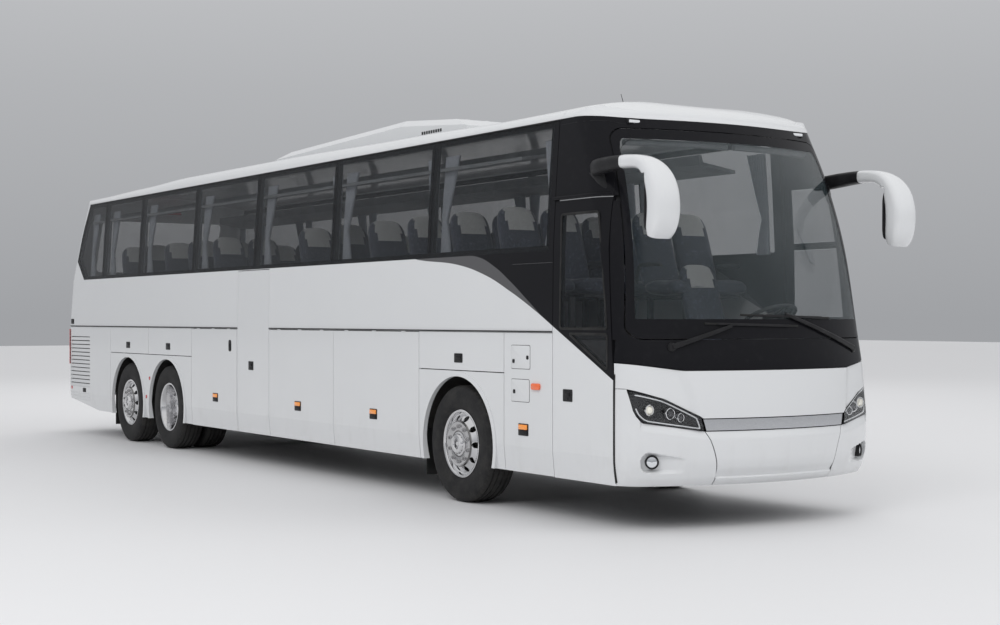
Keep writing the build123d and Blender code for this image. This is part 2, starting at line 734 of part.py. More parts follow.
# Fixed lower panels. Columns: rear end, front end, lower height, upper height
tag_seam_x = tag_x - 665.0
arch_seam_x = (drive_x + tag_x) / 2 + 88.0
drive_seam_x = ahead(REAR_BAY_REAR)
fixed_panels = [
    (seam_of(LEVELS[3]), tag_seam_x, SKIRT_Z, FLOOR_Z),
    (tag_seam_x, arch_seam_x, ARCH_PANEL_Z, FLOOR_Z),
    (arch_seam_x, drive_seam_x, ARCH_PANEL_Z, FLOOR_Z),
    (tag_seam_x, drive_seam_x, SKIRT_Z, ARCH_PANEL_Z),
    (ahead(FRONT_HOUSING_REAR), ahead(FRONT_HOUSING_FRONT), ARCH_PANEL_Z, FLOOR_Z),
    (ahead(FRONT_HOUSING_REAR), ahead(FRONT_HOUSING_FRONT), SKIRT_Z, ARCH_PANEL_Z),
    (ahead(FRONT_HOUSING_FRONT), door_rear_x, SKIRT_Z, FLOOR_Z),
]
ARCH_FORWARD = 15.0
ARCH_LIP = 44.0
ARCH_LIP_PROUD = 8.0
ARCH_LIP_DEPTH = 34.0
with BuildPart() as lower_panels_right:
    for rear, front, low_z, high_z in fixed_panels:
        extrude(
            side_section(-1, 0, PANEL, low_z + SEAM / 2, high_z - SEAM / 2, rear + SEAM / 2),
            amount=front - rear - SEAM,
        )
    with BuildSketch(Plane.XZ.offset(half_width_at(BELT_Z) + ARCH_LIP_PROUD)):
        for wheel_x in (FRONT_AXLE_X, drive_x, tag_x):
            with Locations((wheel_x + ARCH_FORWARD, TYRE_RADIUS)):
                Circle(ARCH_RADIUS + ARCH_LIP)
        with Locations(((FRONT_AXLE_X + tag_x) / 2, SKIRT_Z + SEAM / 2 - REACH / 2)):
            Rectangle(16000, REACH, mode=Mode.SUBTRACT)
    extrude(amount=-ARCH_LIP_DEPTH)
    with BuildSketch(Plane.XZ):
        for wheel_x in (FRONT_AXLE_X, drive_x, tag_x):
            with Locations((wheel_x + ARCH_FORWARD, TYRE_RADIUS)):
                Circle(ARCH_RADIUS)
        with Locations((tag_x - (LOUVRE_REAR + LOUVRE_FRONT) / 2, (LOUVRE_LOW_Z + LOUVRE_HIGH_Z) / 2)):
            Rectangle(LOUVRE_REAR - LOUVRE_FRONT, LOUVRE_HIGH_Z - LOUVRE_LOW_Z)
    extrude(amount=REACH, mode=Mode.SUBTRACT)
    extrude(side_outline(rise_points), amount=REACH, mode=Mode.SUBTRACT)

with BuildPart() as side_louvres_right:
    slat_pitch = (LOUVRE_HIGH_Z - LOUVRE_LOW_Z) / LOUVRE_SLATS
    panel_y = -half_width_at(BELT_Z)
    with BuildSketch(Plane.YZ.offset(tag_x - LOUVRE_REAR)):
        with BuildLine():
            Polyline(
                (panel_y + PANEL, LOUVRE_LOW_Z), (panel_y + PANEL / 2, LOUVRE_LOW_Z),
                (panel_y + PANEL / 2, LOUVRE_HIGH_Z), (panel_y + PANEL, LOUVRE_HIGH_Z), close=True,
            )
        make_face()
        for slat in range(LOUVRE_SLATS):
            slat_z = LOUVRE_LOW_Z + slat * slat_pitch
            with BuildLine():
                Polyline(
                    (panel_y + PANEL / 2, slat_z), (panel_y + 2, slat_z + 6),
                    (panel_y + 2, slat_z + 14), (panel_y + PANEL / 2, slat_z + slat_pitch), close=True,
                )
            make_face()
    extrude(amount=LOUVRE_REAR - LOUVRE_FRONT)

with BuildPart() as side_louvres:
    add(side_louvres_right.part)
    mirror(about=Plane.XZ)
save(side_louvres.part, "side_louvres")

# On the left the panels run on to the front corner, and one more closes the place of the middle door
with BuildPart() as corner_panel_left:
    add(nose_shell)
    extrude(
        side_rectangle(door_rear_x + SEAM / 2, door_front_x - SEAM / 2, SKIRT_Z, FLOOR_Z - SEAM / 2),
        amount=-REACH,
        mode=Mode.INTERSECT,
    )
with BuildPart() as lower_panels:
    add(lower_panels_right.part)
    mirror(about=Plane.XZ)
    add(corner_panel_left.part)
    extrude(
        side_section(1, 0, PANEL, SKIRT_Z, FLOOR_Z - SEAM / 2, ahead(REAR_BAY_FRONT) + SEAM / 2),
        amount=MID_DOOR_FRONT - REAR_BAY_FRONT - SEAM,
    )
    extrude(
        side_section(-1, 0, PANEL, SKIRT_Z, FLOOR_Z - SEAM / 2, ahead(REAR_BAY_FRONT) + SEAM / 2),
        amount=MID_DOOR_REAR - REAR_BAY_FRONT - SEAM,
    )
save(lower_panels.part, "lower_panels")

# Roof: the sides carried on upwards, cut by a crowned section and by the dome's profile
ROOF_EDGE_Z = 3300.0
ROOF_EDGE_ROUND = 70.0
DOME_FRONT = 2150.0
DOME_CREST = 900.0
TAIL_CREST = 1560.0
TAIL_EDGE_Z = 3305.0
ROOF_SEAM = 1550.0
DOME_RISE = 30.0
top = LEVELS[-1]
below = LEVELS[-2]
rise = 260.0
share = rise / (top.z - below.z)
above = Level(
    top.z + rise,
    top.half_width + share * (top.half_width - below.half_width),
    top.nose + share * (top.nose - below.nose),
    top.front_radius + share * (top.front_radius - below.front_radius),
    top.tail + share * (top.tail - below.tail),
)


def roof_plan(level, inset):
    """Plan of the whole body at one level."""
    with BuildSketch(Plane.XY.offset(level.z)) as plan:
        add(nose_plan(level, inset))
        add(tail_plan(level, inset))
        with Locations(((NOSE_START + TAIL_START) / 2, 0)):
            Rectangle(NOSE_START - TAIL_START + 40, 2 * (level.half_width - inset))
    return plan.sketch


def roof_block(inset, edge_round):
    """The roof as one solid, set in from its skin, its long edges rounded where it shows."""
    half = top.half_width - inset
    with BuildPart() as block:
        loft([roof_plan(top, inset), roof_plan(above, inset)], ruled=True)
        with BuildSketch(Plane.YZ.offset(tag_x - 3000)) as crown:
            with BuildLine():
                Line((-half, WINDOW_TOP_Z), (half, WINDOW_TOP_Z))
                Line((half, WINDOW_TOP_Z), (half, ROOF_EDGE_Z - inset))
                ThreePointArc((half, ROOF_EDGE_Z - inset), (0, CREST_Z - inset), (-half, ROOF_EDGE_Z - inset))
                Line((-half, ROOF_EDGE_Z - inset), (-half, WINDOW_TOP_Z))
            make_face()
            if edge_round:
                fillet(crown.vertices().group_by(Axis.Y)[-1], edge_round)
        extrude(amount=16000, mode=Mode.INTERSECT)
        with BuildSketch(Plane.XZ):
            with BuildLine():
                dome_z = CREST_Z + DOME_RISE - inset
                nose_x = ahead(DOME_FRONT) - inset
                rear_x = tail_of(top) + inset
                dome = Line((tag_x - TAIL_CREST, dome_z), (ahead(DOME_CREST), dome_z))
                TangentArc(dome @ 1, (nose_x, WINDOW_TOP_Z), tangent=(1, 0))
                Line((nose_x, WINDOW_TOP_Z), (rear_x, WINDOW_TOP_Z))
                Line((rear_x, WINDOW_TOP_Z), (rear_x, TAIL_EDGE_Z - inset))
                TangentArc(dome @ 0, (rear_x, TAIL_EDGE_Z - inset), tangent=(-1, 0))
            make_face()
        extrude(amount=REACH, both=True, mode=Mode.INTERSECT)
    return block.part


roof_solid = roof_block(0, ROOF_EDGE_ROUND)
with BuildPart() as roof:
    add(roof_solid)
    add(roof_block(WALL, 0), mode=Mode.SUBTRACT)
    extrude(
        side_rectangle(ahead(ROOF_SEAM) - 2, ahead(ROOF_SEAM) + 2, WINDOW_TOP_Z - 10, CREST_Z + 10),
        amount=REACH,
        both=True,
        mode=Mode.SUBTRACT,
    )
save(roof.part, "roof")

# Air unit on the roof
UNIT_HALF_WIDTH = 640.0
UNIT_SINK = 40.0
unit_points = [
    (ahead(-5650.0), CREST_Z - UNIT_SINK), (ahead(-4870.0), 3560.0), (ahead(-2140.0), 3640.0),
    (ahead(-1150.0), 3560.0), (ahead(-870.0), 3470.0), (ahead(-870.0), CREST_Z - UNIT_SINK),
]
with BuildPart() as roof_air_unit:
    extrude(side_outline(unit_points), amount=UNIT_HALF_WIDTH, both=True)
    chamfer(roof_air_unit.faces().filter_by(Axis.Y).edges().group_by(Axis.Z)[-1], 60)
    add(roof_solid, mode=Mode.SUBTRACT)
save(roof_air_unit.part, "roof_air_unit")

# Deck, seats' floor, notched for the middle door's stairs
DECK_FRONT = 950.0
DECK_REAR = 2300.0
STAIR_DEPTH_Y = 480.0
deck_half = half_width_at(FLOOR_Z) - PANEL
with BuildPart() as deck_floor:
    with BuildSketch(Plane.XY.offset(FLOOR_Z - DECK)):
        with Locations(((ahead(DECK_FRONT) + tag_x - DECK_REAR) / 2, 0)):
            Rectangle(ahead(DECK_FRONT) - tag_x + DECK_REAR, 2 * deck_half)
        with Locations(((mid_door_rear_x + mid_door_front_x) / 2, -deck_half)):
            Rectangle(mid_door_front_x - mid_door_rear_x, 2 * (deck_half - STAIR_DEPTH_Y), mode=Mode.SUBTRACT)
    extrude(amount=DECK)
save(deck_floor.part, "deck_floor")

# Luggage hold: floor, cross bulkheads and the stairs of the middle door
HOLD_FLOOR_Z = 360.0
HOLD_PLATE = 40.0
FLAP_CLEARANCE = 8.0
hold_half = half_width_at(SKIRT_Z) - FLAP - FLAP_CLEARANCE
deck_under_z = FLOOR_Z - DECK
hold_rear_x = ahead(REAR_BAY_REAR)
hold_front_x = ahead(FRONT_HOUSING_REAR)
bulkheads = [
    hold_rear_x + PLATE / 2,
    (ahead(REAR_BAY_FRONT) + mid_door_rear_x) / 2,
    mid_door_front_x,
    ahead(BAY_SPLIT),
    hold_front_x - PLATE / 2,
]
STAIR_STEPS = 4
with BuildPart() as luggage_hold:
    with BuildSketch(Plane.XY.offset(HOLD_FLOOR_Z)):
        with Locations(((hold_rear_x + hold_front_x) / 2, 0)):
            Rectangle(hold_front_x - hold_rear_x, 2 * hold_half)
    extrude(amount=HOLD_PLATE)
    for bulkhead_x in bulkheads:
        with BuildSketch(Plane.XY.offset(HOLD_FLOOR_Z)):
            with Locations((bulkhead_x, 0)):
                Rectangle(PLATE, 2 * hold_half)
        extrude(amount=deck_under_z - HOLD_FLOOR_Z)
    step_rise = (FLOOR_Z - HOLD_FLOOR_Z - HOLD_PLATE) / STAIR_STEPS
    step_run = (hold_half - STAIR_DEPTH_Y) / STAIR_STEPS
    for step in range(1, STAIR_STEPS):
        step_z = HOLD_FLOOR_Z + HOLD_PLATE + step * step_rise
        step_y = -hold_half + step * step_run
        with BuildSketch(Plane.YZ.offset(bulkheads[1])):
            with BuildLine():
                Polyline(
                    (step_y, step_z - step_rise - 1), (step_y + PLATE, step_z - step_rise - 1),
                    (step_y + PLATE, step_z - PLATE), (step_y + step_run + PLATE, step_z - PLATE),
                    (step_y + step_run + PLATE, step_z), (step_y, step_z), close=True,
                )
            make_face()
        extrude(amount=bulkheads[2] - bulkheads[1])
    with BuildSketch(Plane.XZ.offset(STAIR_DEPTH_Y)):
        with Locations(((bulkheads[1] + bulkheads[2]) / 2, (HOLD_FLOOR_Z + deck_under_z) / 2)):
            Rectangle(bulkheads[2] - bulkheads[1], deck_under_z - HOLD_FLOOR_Z)
    extrude(amount=-PLATE)
save(luggage_hold.part, "luggage_hold")

# Wheel housings, half tubes over the wheels closed on their inner side
HOUSING_LOW_Z = 620.0
with BuildPart() as housings_right:
    for wheel_x, inner_y in (
        (FRONT_AXLE_X, HOUSING_INNER_Y),
        (drive_x, TWIN_HOUSING_INNER_Y),
        (tag_x, TWIN_HOUSING_INNER_Y),
    ):
        with BuildSketch(Plane.XZ.offset(inner_y - HOUSING_WALL)):
            with Locations((wheel_x + ARCH_FORWARD, TYRE_RADIUS)):
                Circle(HOUSING_RADIUS + HOUSING_WALL)
        extrude(amount=deck_half - inner_y + HOUSING_WALL)
    for wheel_x, inner_y in (
        (FRONT_AXLE_X, HOUSING_INNER_Y),
        (drive_x, TWIN_HOUSING_INNER_Y),
        (tag_x, TWIN_HOUSING_INNER_Y),
    ):
        with BuildSketch(Plane.XZ.offset(inner_y)):
            with Locations((wheel_x + ARCH_FORWARD, TYRE_RADIUS)):
                Circle(HOUSING_RADIUS)
        extrude(amount=REACH, mode=Mode.SUBTRACT)
    extrude(
        side_rectangle(tag_x - 3000, FRONT_AXLE_X + 3000, SKIRT_Z - 600, HOUSING_LOW_Z),
        amount=REACH,
        mode=Mode.SUBTRACT,
    )
    extrude(side_rectangle(hold_rear_x - 1, hold_front_x, SKIRT_Z, FLOOR_Z), amount=REACH, mode=Mode.SUBTRACT)
with BuildPart() as wheel_housings:
    add(housings_right.part)
    mirror(about=Plane.XZ)
save(wheel_housings.part, "wheel_housings")

# Front and rear subframes
front_crosses = [ahead(SUBFRAME_FRONT) - 30, ahead(1400.0), ahead(800.0)]
rear_crosses = [drive_x + 720, tag_x - 760, tag_x - TAIL_FRAME]
with BuildPart() as underframe:
    for rear_x, front_x in (
        (hold_front_x, ahead(SUBFRAME_FRONT)),
        (tag_x - TAIL_FRAME, hold_rear_x),
    ):
        for side in (-1, 1):
            with BuildSketch(Plane.YZ.offset(rear_x)):
                with Locations((side * RAIL_Y, RAIL_LOW_Z + RAIL_HEIGHT / 2)):
                    Rectangle(RAIL_WIDTH, RAIL_HEIGHT)
            extrude(amount=front_x - rear_x)
    for cross_x in front_crosses + rear_crosses:
        with BuildSketch(Plane.XZ.offset(-1000)):
            with Locations((cross_x, RAIL_LOW_Z + CROSS_HEIGHT / 2)):
                Rectangle(CROSS_WIDTH, CROSS_HEIGHT)
        extrude(amount=2000)
save(underframe.part, "underframe")

# Driver's floor and the entry steps in the doorway
PLATFORM_RIGHT_Y = -440.0
PLATFORM_NOSE = 2420.0
ENTRY_STEPS = 3
POST_FOOT = 90.0
ENTRY_EDGE_Y = -1180.0
cab_half = half_width_at(BELT_Z) - WALL
step_rise = (PLATFORM_Z - ENTRY_LOW_Z) / ENTRY_STEPS
step_run = (PLATFORM_RIGHT_Y - ENTRY_EDGE_Y) / ENTRY_STEPS
with BuildPart() as front_platform:
    with BuildSketch(Plane.XY.offset(PLATFORM_Z - PLATE)):
        with BuildLine():
            Polyline(
                (ahead(FRONT_HOUSING_FRONT), PLATFORM_RIGHT_Y),
                (ahead(FRONT_HOUSING_FRONT), cab_half),
                (ahead(DOOR_FRONT) - 100, cab_half),
                (ahead(PLATFORM_NOSE), cab_half - 250),
                (ahead(PLATFORM_NOSE), PLATFORM_RIGHT_Y),
                close=True,
            )
        make_face()
    extrude(amount=PLATE)
    for step in range(ENTRY_STEPS):
        step_y = ENTRY_EDGE_Y + step * step_run
        step_z = ENTRY_LOW_Z + step * step_rise
        with BuildSketch(Plane.YZ.offset(door_rear_x)):
            with BuildLine():
                Polyline(
                    (step_y, step_z - PLATE),
                    (step_y + step_run, step_z - PLATE),
                    (step_y + step_run, step_z + step_rise),
                    (step_y + step_run - PLATE, step_z + step_rise),
                    (step_y + step_run - PLATE, step_z),
                    (step_y, step_z),
                    close=True,
                )
            make_face()
        extrude(amount=door_front_x - door_rear_x - 180)
    with BuildSketch(Plane.XZ.offset(-PLATFORM_RIGHT_Y)):
        with Locations((door_rear_x - PLATE / 2, (ENTRY_LOW_Z - PLATE + deck_under_z) / 2)):
            Rectangle(PLATE, deck_under_z - ENTRY_LOW_Z + PLATE)
    extrude(amount=hold_half + PLATFORM_RIGHT_Y)
    with BuildSketch(Plane.XY.offset(ENTRY_LOW_Z)):
        with Locations((post_x - POST_FOOT / 2, POST_Y)):
            Rectangle(2 * POST_FOOT, POST_FOOT)
    extrude(amount=-PLATE)
    for side in (-1, 1):
        with BuildSketch(Plane.YZ.offset(ahead(FRONT_HOUSING_FRONT))):
            with Locations((side * RAIL_Y, (RAIL_LOW_Z + RAIL_HEIGHT + PLATFORM_Z - PLATE) / 2)):
                Rectangle(RAIL_WIDTH - 20, PLATFORM_Z - PLATE - RAIL_LOW_Z - RAIL_HEIGHT)
        extrude(amount=PLATFORM_NOSE - FRONT_HOUSING_FRONT)
save(front_platform.part, "front_platform")

# Dashboard under the windscreen, following the inside of the nose
DASH_REAR = 1950.0
DASH_HIGH_Z = 1420.0
DASH_LOW_Z = 1130.0
DASH_GAP = 3.0
with BuildPart() as dashboard:
    add(body_end(nose_plan, WALL + DASH_GAP, SKIRT_Z, WINDOW_TOP_Z))
    with BuildSketch(Plane.XZ):
        with BuildLine():
            Polyline(
                (ahead(DASH_REAR), DASH_LOW_Z + 60),
                (ahead(DASH_REAR) + 60, DASH_LOW_Z),
                (ahead(3000.0), DASH_LOW_Z),
                (ahead(3000.0), DASH_HIGH_Z),
                (ahead(DASH_REAR) + 120, DASH_HIGH_Z),
                (ahead(DASH_REAR), DASH_HIGH_Z - 70),
                close=True,
            )
        make_face()
    extrude(amount=REACH, both=True, mode=Mode.INTERSECT)
    with BuildSketch(Plane.XY):
        with Locations((ahead(DASH_REAR), -REACH / 2 + PLATFORM_RIGHT_Y)):
            Rectangle(2 * (DOOR_FRONT + 20 - DASH_REAR), REACH)
    extrude(amount=3000, mode=Mode.SUBTRACT)
    with BuildSketch(Plane.XY.offset(PLATFORM_Z)):
        with Locations((ahead(DASH_REAR) + 250, 600)):
            Rectangle(300, 700)
    extrude(amount=DASH_LOW_Z - PLATFORM_Z)
save(dashboard.part, "dashboard")

# Steering wheel on its column
WHEEL_RIM_RADIUS = 225.0
WHEEL_RIM_THICK = 16.0
COLUMN_RADIUS = 30.0
COLUMN_LENGTH = 330.0
wheel_plane = Plane(origin=(ahead(1980.0), 620, 1640), x_dir=(0, 1, 0), z_dir=(-0.42, 0, 0.9))
with BuildPart() as steering_wheel:
    with BuildSketch(Plane(origin=wheel_plane.origin, x_dir=wheel_plane.z_dir, z_dir=wheel_plane.x_dir)):
        with Locations((0, WHEEL_RIM_RADIUS)):
            RegularPolygon(WHEEL_RIM_THICK, 6)
    revolve(axis=Axis(wheel_plane.origin, wheel_plane.z_dir))
    with BuildSketch(wheel_plane):
        Circle(60)
        Rectangle(2 * WHEEL_RIM_RADIUS, 36)
        with Locations((0, -WHEEL_RIM_RADIUS / 2)):
            Rectangle(36, WHEEL_RIM_RADIUS)
    extrude(amount=8, both=True)
    with BuildSketch(wheel_plane):
        Circle(COLUMN_RADIUS)
    extrude(amount=-COLUMN_LENGTH)
    add(dashboard.part, mode=Mode.SUBTRACT)
save(steering_wheel.part, "steering_wheel")

# Passenger seats in pairs on both sides of the aisle, and the driver's seat
SEAT_PITCH = 790.0
SEAT_ROWS = 13
SEAT_FIRST = 640.0
SEAT_PAIR = 900.0
SEAT_HEIGHT = 1130.0
CUSHION_Z = 430.0
CUSHION_DEPTH = 460.0
BACK_THICK = 110.0
BACK_LEAN = 190.0
SEAT_WALL_GAP = 20.0
DRIVER_SEAT = 1180.0
DRIVER_SEAT_Y = 880.0
DRIVER_SEAT_WIDTH = 520.0
seat_outer_y = half_width_at(SILL_Z + 400) - WALL - SEAT_WALL_GAP


def seat_outline(x, y, z):
    """Side outline, at y, of a seat whose cushion's rear corner stands at x on a floor at z."""
    return side_outline(
        [
            (x + 60, z),
            (x + 60, z + CUSHION_Z - 130),
            (x - 30, z + CUSHION_Z - 110),
            (x - BACK_LEAN - BACK_THICK + 30, z + SEAT_HEIGHT - 90),
            (x - BACK_LEAN - BACK_THICK + 70, z + SEAT_HEIGHT),
            (x - BACK_LEAN, z + SEAT_HEIGHT - 20),
            (x + BACK_THICK - 40, z + CUSHION_Z),
            (x + CUSHION_DEPTH, z + CUSHION_Z + 30),
            (x + CUSHION_DEPTH + 20, z + CUSHION_Z - 70),
            (x + CUSHION_DEPTH - 60, z + CUSHION_Z - 130),
            (x + 160, z + CUSHION_Z - 130),
            (x + 160, z),
        ],
        y,
    )


row_xs = [ahead(SEAT_FIRST) - row * SEAT_PITCH for row in range(SEAT_ROWS)]
stair_rows = [x for x in row_xs if mid_door_rear_x - CUSHION_DEPTH < x < mid_door_front_x]
with BuildPart() as seats:
    for row_x in row_xs:
        for side in (-1, 1):
            if side < 0 and row_x in stair_rows:
                continue
            extrude(seat_outline(row_x, side * seat_outer_y, FLOOR_Z), amount=side * SEAT_PAIR)
    extrude(seat_outline(ahead(DRIVER_SEAT), DRIVER_SEAT_Y, PLATFORM_Z), amount=DRIVER_SEAT_WIDTH)
save(seats.part, "seats")

# Luggage racks over the seats
RACK_LOW_Z = 2960.0
RACK_DEPTH = 430.0
RACK_HEIGHT = 150.0
RACK_THICK = 30.0
RACK_REAR = 1700.0
rack_outer_y = half_width_at(RACK_LOW_Z) - WALL
rack_upper_y = half_width_at(RACK_LOW_Z + RACK_THICK) - WALL
with BuildPart() as luggage_racks:
    for side in (-1, 1):
        with BuildSketch(Plane.YZ.offset(tag_x - RACK_REAR)):
            with BuildLine():
                Polyline(
                    (side * rack_outer_y, RACK_LOW_Z),
                    (side * (rack_outer_y - RACK_DEPTH), RACK_LOW_Z + 60),
                    (side * (rack_outer_y - RACK_DEPTH), RACK_LOW_Z + RACK_HEIGHT),
                    (side * (rack_outer_y - RACK_DEPTH + 30), RACK_LOW_Z + RACK_HEIGHT),
                    (side * (rack_outer_y - RACK_DEPTH + 50), RACK_LOW_Z + 55 + RACK_THICK),
                    (side * rack_upper_y, RACK_LOW_Z + RACK_THICK),
                    close=True,
                )
            make_face()
        extrude(amount=ahead(900.0) - tag_x + RACK_REAR)
save(luggage_racks.part, "luggage_racks")

# Engine, one block between the rails of the tail
ENGINE_REAR = 2250.0
ENGINE_FRONT = 900.0
ENGINE_LOW_Z = 470.0
ENGINE_HIGH_Z = 1380.0
with BuildPart() as engine_block:
    with BuildSketch(Plane.XY.offset(ENGINE_LOW_Z)):
        with Locations((tag_x - (ENGINE_REAR + ENGINE_FRONT) / 2, 0)):
            Rectangle(ENGINE_REAR - ENGINE_FRONT, 2 * (RAIL_Y - RAIL_WIDTH / 2))
    extrude(amount=ENGINE_HIGH_Z - ENGINE_LOW_Z)
    chamfer(engine_block.edges().filter_by(Axis.X), 60)
save(engine_block.part, "engine_block")

# Axles. Air springs stand on each one and carry the rails
KINGPIN_Y = 980.0
KINGPIN_RADIUS = 22.0
EYE_RADIUS = 50.0
EYE_HEIGHT = 150.0
LUG_HEIGHT = 45.0
LUG_CLEARANCE = 0.5
BEAM_DROP_Z = 380.0
BEAM_HEIGHT = 90.0
BEAM_WIDTH = 90.0
SPRING_RADIUS = 100.0
eye_low_z = TYRE_RADIUS - EYE_HEIGHT / 2
with BuildPart() as front_axle:
    with BuildSketch(Plane.YZ.offset(FRONT_AXLE_X - BEAM_WIDTH / 2)):
        with BuildLine():
            Polyline(
                (-KINGPIN_Y, eye_low_z),
                (-KINGPIN_Y + 130, eye_low_z),
                (-RAIL_Y - 190, BEAM_DROP_Z),
                (RAIL_Y + 190, BEAM_DROP_Z),
                (KINGPIN_Y - 130, eye_low_z),
                (KINGPIN_Y, eye_low_z),
                (KINGPIN_Y, eye_low_z + BEAM_HEIGHT),
                (KINGPIN_Y - 160, eye_low_z + BEAM_HEIGHT),
                (RAIL_Y + 160, BEAM_DROP_Z + BEAM_HEIGHT),
                (-RAIL_Y - 160, BEAM_DROP_Z + BEAM_HEIGHT),
                (-KINGPIN_Y + 160, eye_low_z + BEAM_HEIGHT),
                (-KINGPIN_Y, eye_low_z + BEAM_HEIGHT),
                close=True,
            )
        make_face()
    extrude(amount=BEAM_WIDTH)
    for side in (-1, 1):
        with BuildSketch(Plane.XY.offset(eye_low_z)):
            with Locations((FRONT_AXLE_X, side * KINGPIN_Y)):
                Circle(EYE_RADIUS)
        extrude(amount=EYE_HEIGHT)
        with BuildSketch(Plane.XY.offset(eye_low_z)):
            with Locations((FRONT_AXLE_X, side * KINGPIN_Y)):
                Circle(KINGPIN_RADIUS + SHAFT_CLEARANCE)
        extrude(amount=EYE_HEIGHT, mode=Mode.SUBTRACT)
        with BuildSketch(Plane.XY.offset(BEAM_DROP_Z + BEAM_HEIGHT)):
            with Locations((FRONT_AXLE_X, side * RAIL_Y)):
                Circle(SPRING_RADIUS)
        extrude(amount=RAIL_LOW_Z - BEAM_DROP_Z - BEAM_HEIGHT)
save(front_axle.part, "front_axle")

# Steering knuckles: a yoke round the beam's eye, with its kingpin, and the spindle of the wheel
YOKE_INNER = 62.0
YOKE_OUTER = 105.0
SPINDLE_TIP = 112.0
for side_name, side in (("right", -1), ("left", 1)):
    with BuildPart() as knuckle:
        for lug_z in (eye_low_z - LUG_CLEARANCE - LUG_HEIGHT, eye_low_z + EYE_HEIGHT + LUG_CLEARANCE):
            with BuildSketch(Plane.XY.offset(lug_z)):
                with Locations((FRONT_AXLE_X, side * KINGPIN_Y)):
                    Circle(EYE_RADIUS)
                with Locations((FRONT_AXLE_X, side * (KINGPIN_Y + YOKE_OUTER / 2))):
                    Rectangle(2 * EYE_RADIUS, YOKE_OUTER)
            extrude(amount=LUG_HEIGHT)
        with BuildSketch(Plane.XY.offset(eye_low_z - LUG_CLEARANCE - LUG_HEIGHT)):
            with Locations((FRONT_AXLE_X, side * (KINGPIN_Y + (YOKE_INNER + YOKE_OUTER) / 2))):
                Rectangle(2 * EYE_RADIUS, YOKE_OUTER - YOKE_INNER)
            with Locations((FRONT_AXLE_X, side * KINGPIN_Y)):
                Circle(KINGPIN_RADIUS)
        extrude(amount=EYE_HEIGHT + 2 * (LUG_HEIGHT + LUG_CLEARANCE))
        with BuildSketch(Plane.XZ.offset(-side * (KINGPIN_Y + YOKE_INNER))):
            with Locations((FRONT_AXLE_X, TYRE_RADIUS)):
                Circle(HUB_BORE - SHAFT_CLEARANCE)
        extrude(amount=-side * (TRACK_HALF + SPINDLE_TIP - KINGPIN_Y - YOKE_INNER))
    save(knuckle.part, f"knuckle_{side_name}")

# Driven axle and tag axle: a tube with stub ends, and four air springs under the rails
AXLE_TUBE_RADIUS = 75.0
DIFFERENTIAL_RADIUS = 215.0
SPRING_SPREAD = 330.0
with BuildPart() as drive_axle:
    tube_half = twin_inner_y - TYRE_WIDTH / 2 - 40
    with BuildSketch(Plane.XZ.offset(-tube_half)):
        with Locations((drive_x, TYRE_RADIUS)):
            Circle(AXLE_TUBE_RADIUS)
    extrude(amount=2 * tube_half)
    with BuildSketch(Plane.XZ.offset(-(TRACK_HALF - TWIN_SPACING / 2 + 60))):
        with Locations((drive_x, TYRE_RADIUS)):
            Circle(HUB_BORE - SHAFT_CLEARANCE)
    extrude(amount=2 * (TRACK_HALF - TWIN_SPACING / 2 + 60))
    with Locations((drive_x, 0, TYRE_RADIUS)):
        Sphere(DIFFERENTIAL_RADIUS)
    with BuildSketch(Plane.XY.offset(TYRE_RADIUS - 60)):
        for side in (-1, 1):
            with Locations((drive_x, side * RAIL_Y)):
                Rectangle(2 * SPRING_SPREAD + 120, 90)
    extrude(amount=70)
    with BuildSketch(Plane.XY.offset(TYRE_RADIUS + 10)):
        for side in (-1, 1):
            for end in (-1, 1):
                with Locations((drive_x + end * SPRING_SPREAD, side * RAIL_Y)):
                    Circle(SPRING_RADIUS)
    extrude(amount=RAIL_LOW_Z - TYRE_RADIUS - 10)
save(drive_axle.part, "drive_axle")

with BuildPart() as tag_axle:
    tube_half = TRACK_HALF - TYRE_WIDTH / 2 - 120
    with BuildSketch(Plane.XZ.offset(-tube_half)):
        with Locations((tag_x, TYRE_RADIUS)):
            Circle(AXLE_TUBE_RADIUS)
    extrude(amount=2 * tube_half)
    with BuildSketch(Plane.XZ.offset(-(TRACK_HALF + SPINDLE_TIP))):
        with Locations((tag_x, TYRE_RADIUS)):
            Circle(HUB_BORE - SHAFT_CLEARANCE)
    extrude(amount=2 * (TRACK_HALF + SPINDLE_TIP))
    with BuildSketch(Plane.XY.offset(TYRE_RADIUS + 40)):
        for side in (-1, 1):
            with Locations((tag_x, side * RAIL_Y)):
                Circle(SPRING_RADIUS)
    extrude(amount=RAIL_LOW_Z - TYRE_RADIUS - 40)
save(tag_axle.part, "tag_axle")

# Tyre section and rim sections, as radius and offset outwards from the middle of the tyre
TREAD_HALF = 122.0
RIM_HALF = 118.0
FLANGE = 14.0
NUT_CIRCLE = 167.0
NUT_RADIUS = 19.0
NUTS = 10
CONVEX_FACE = 92.0
CONVEX_HUB = 150.0
HUB_RADIUS = 108.0
DISC = 18.0
half_tyre = TYRE_WIDTH / 2
tyre_points = [
    (RIM_RADIUS, -RIM_HALF + 6),
    (TYRE_RADIUS - 45, -half_tyre),
    (TYRE_RADIUS, -TREAD_HALF),
    (TYRE_RADIUS, TREAD_HALF),
    (TYRE_RADIUS - 45, half_tyre),
    (RIM_RADIUS, RIM_HALF - 6),
]
barrel_points = [
    (RIM_RADIUS - RIM_WALL, -RIM_HALF - FLANGE),
    (FLANGE_RADIUS, -RIM_HALF - FLANGE),
    (FLANGE_RADIUS, -RIM_HALF),
    (RIM_RADIUS, -RIM_HALF + 6),
    (RIM_RADIUS, RIM_HALF - 6),
    (FLANGE_RADIUS, RIM_HALF),
    (FLANGE_RADIUS, RIM_HALF + FLANGE),
    (RIM_RADIUS - RIM_WALL, RIM_HALF + FLANGE),
]
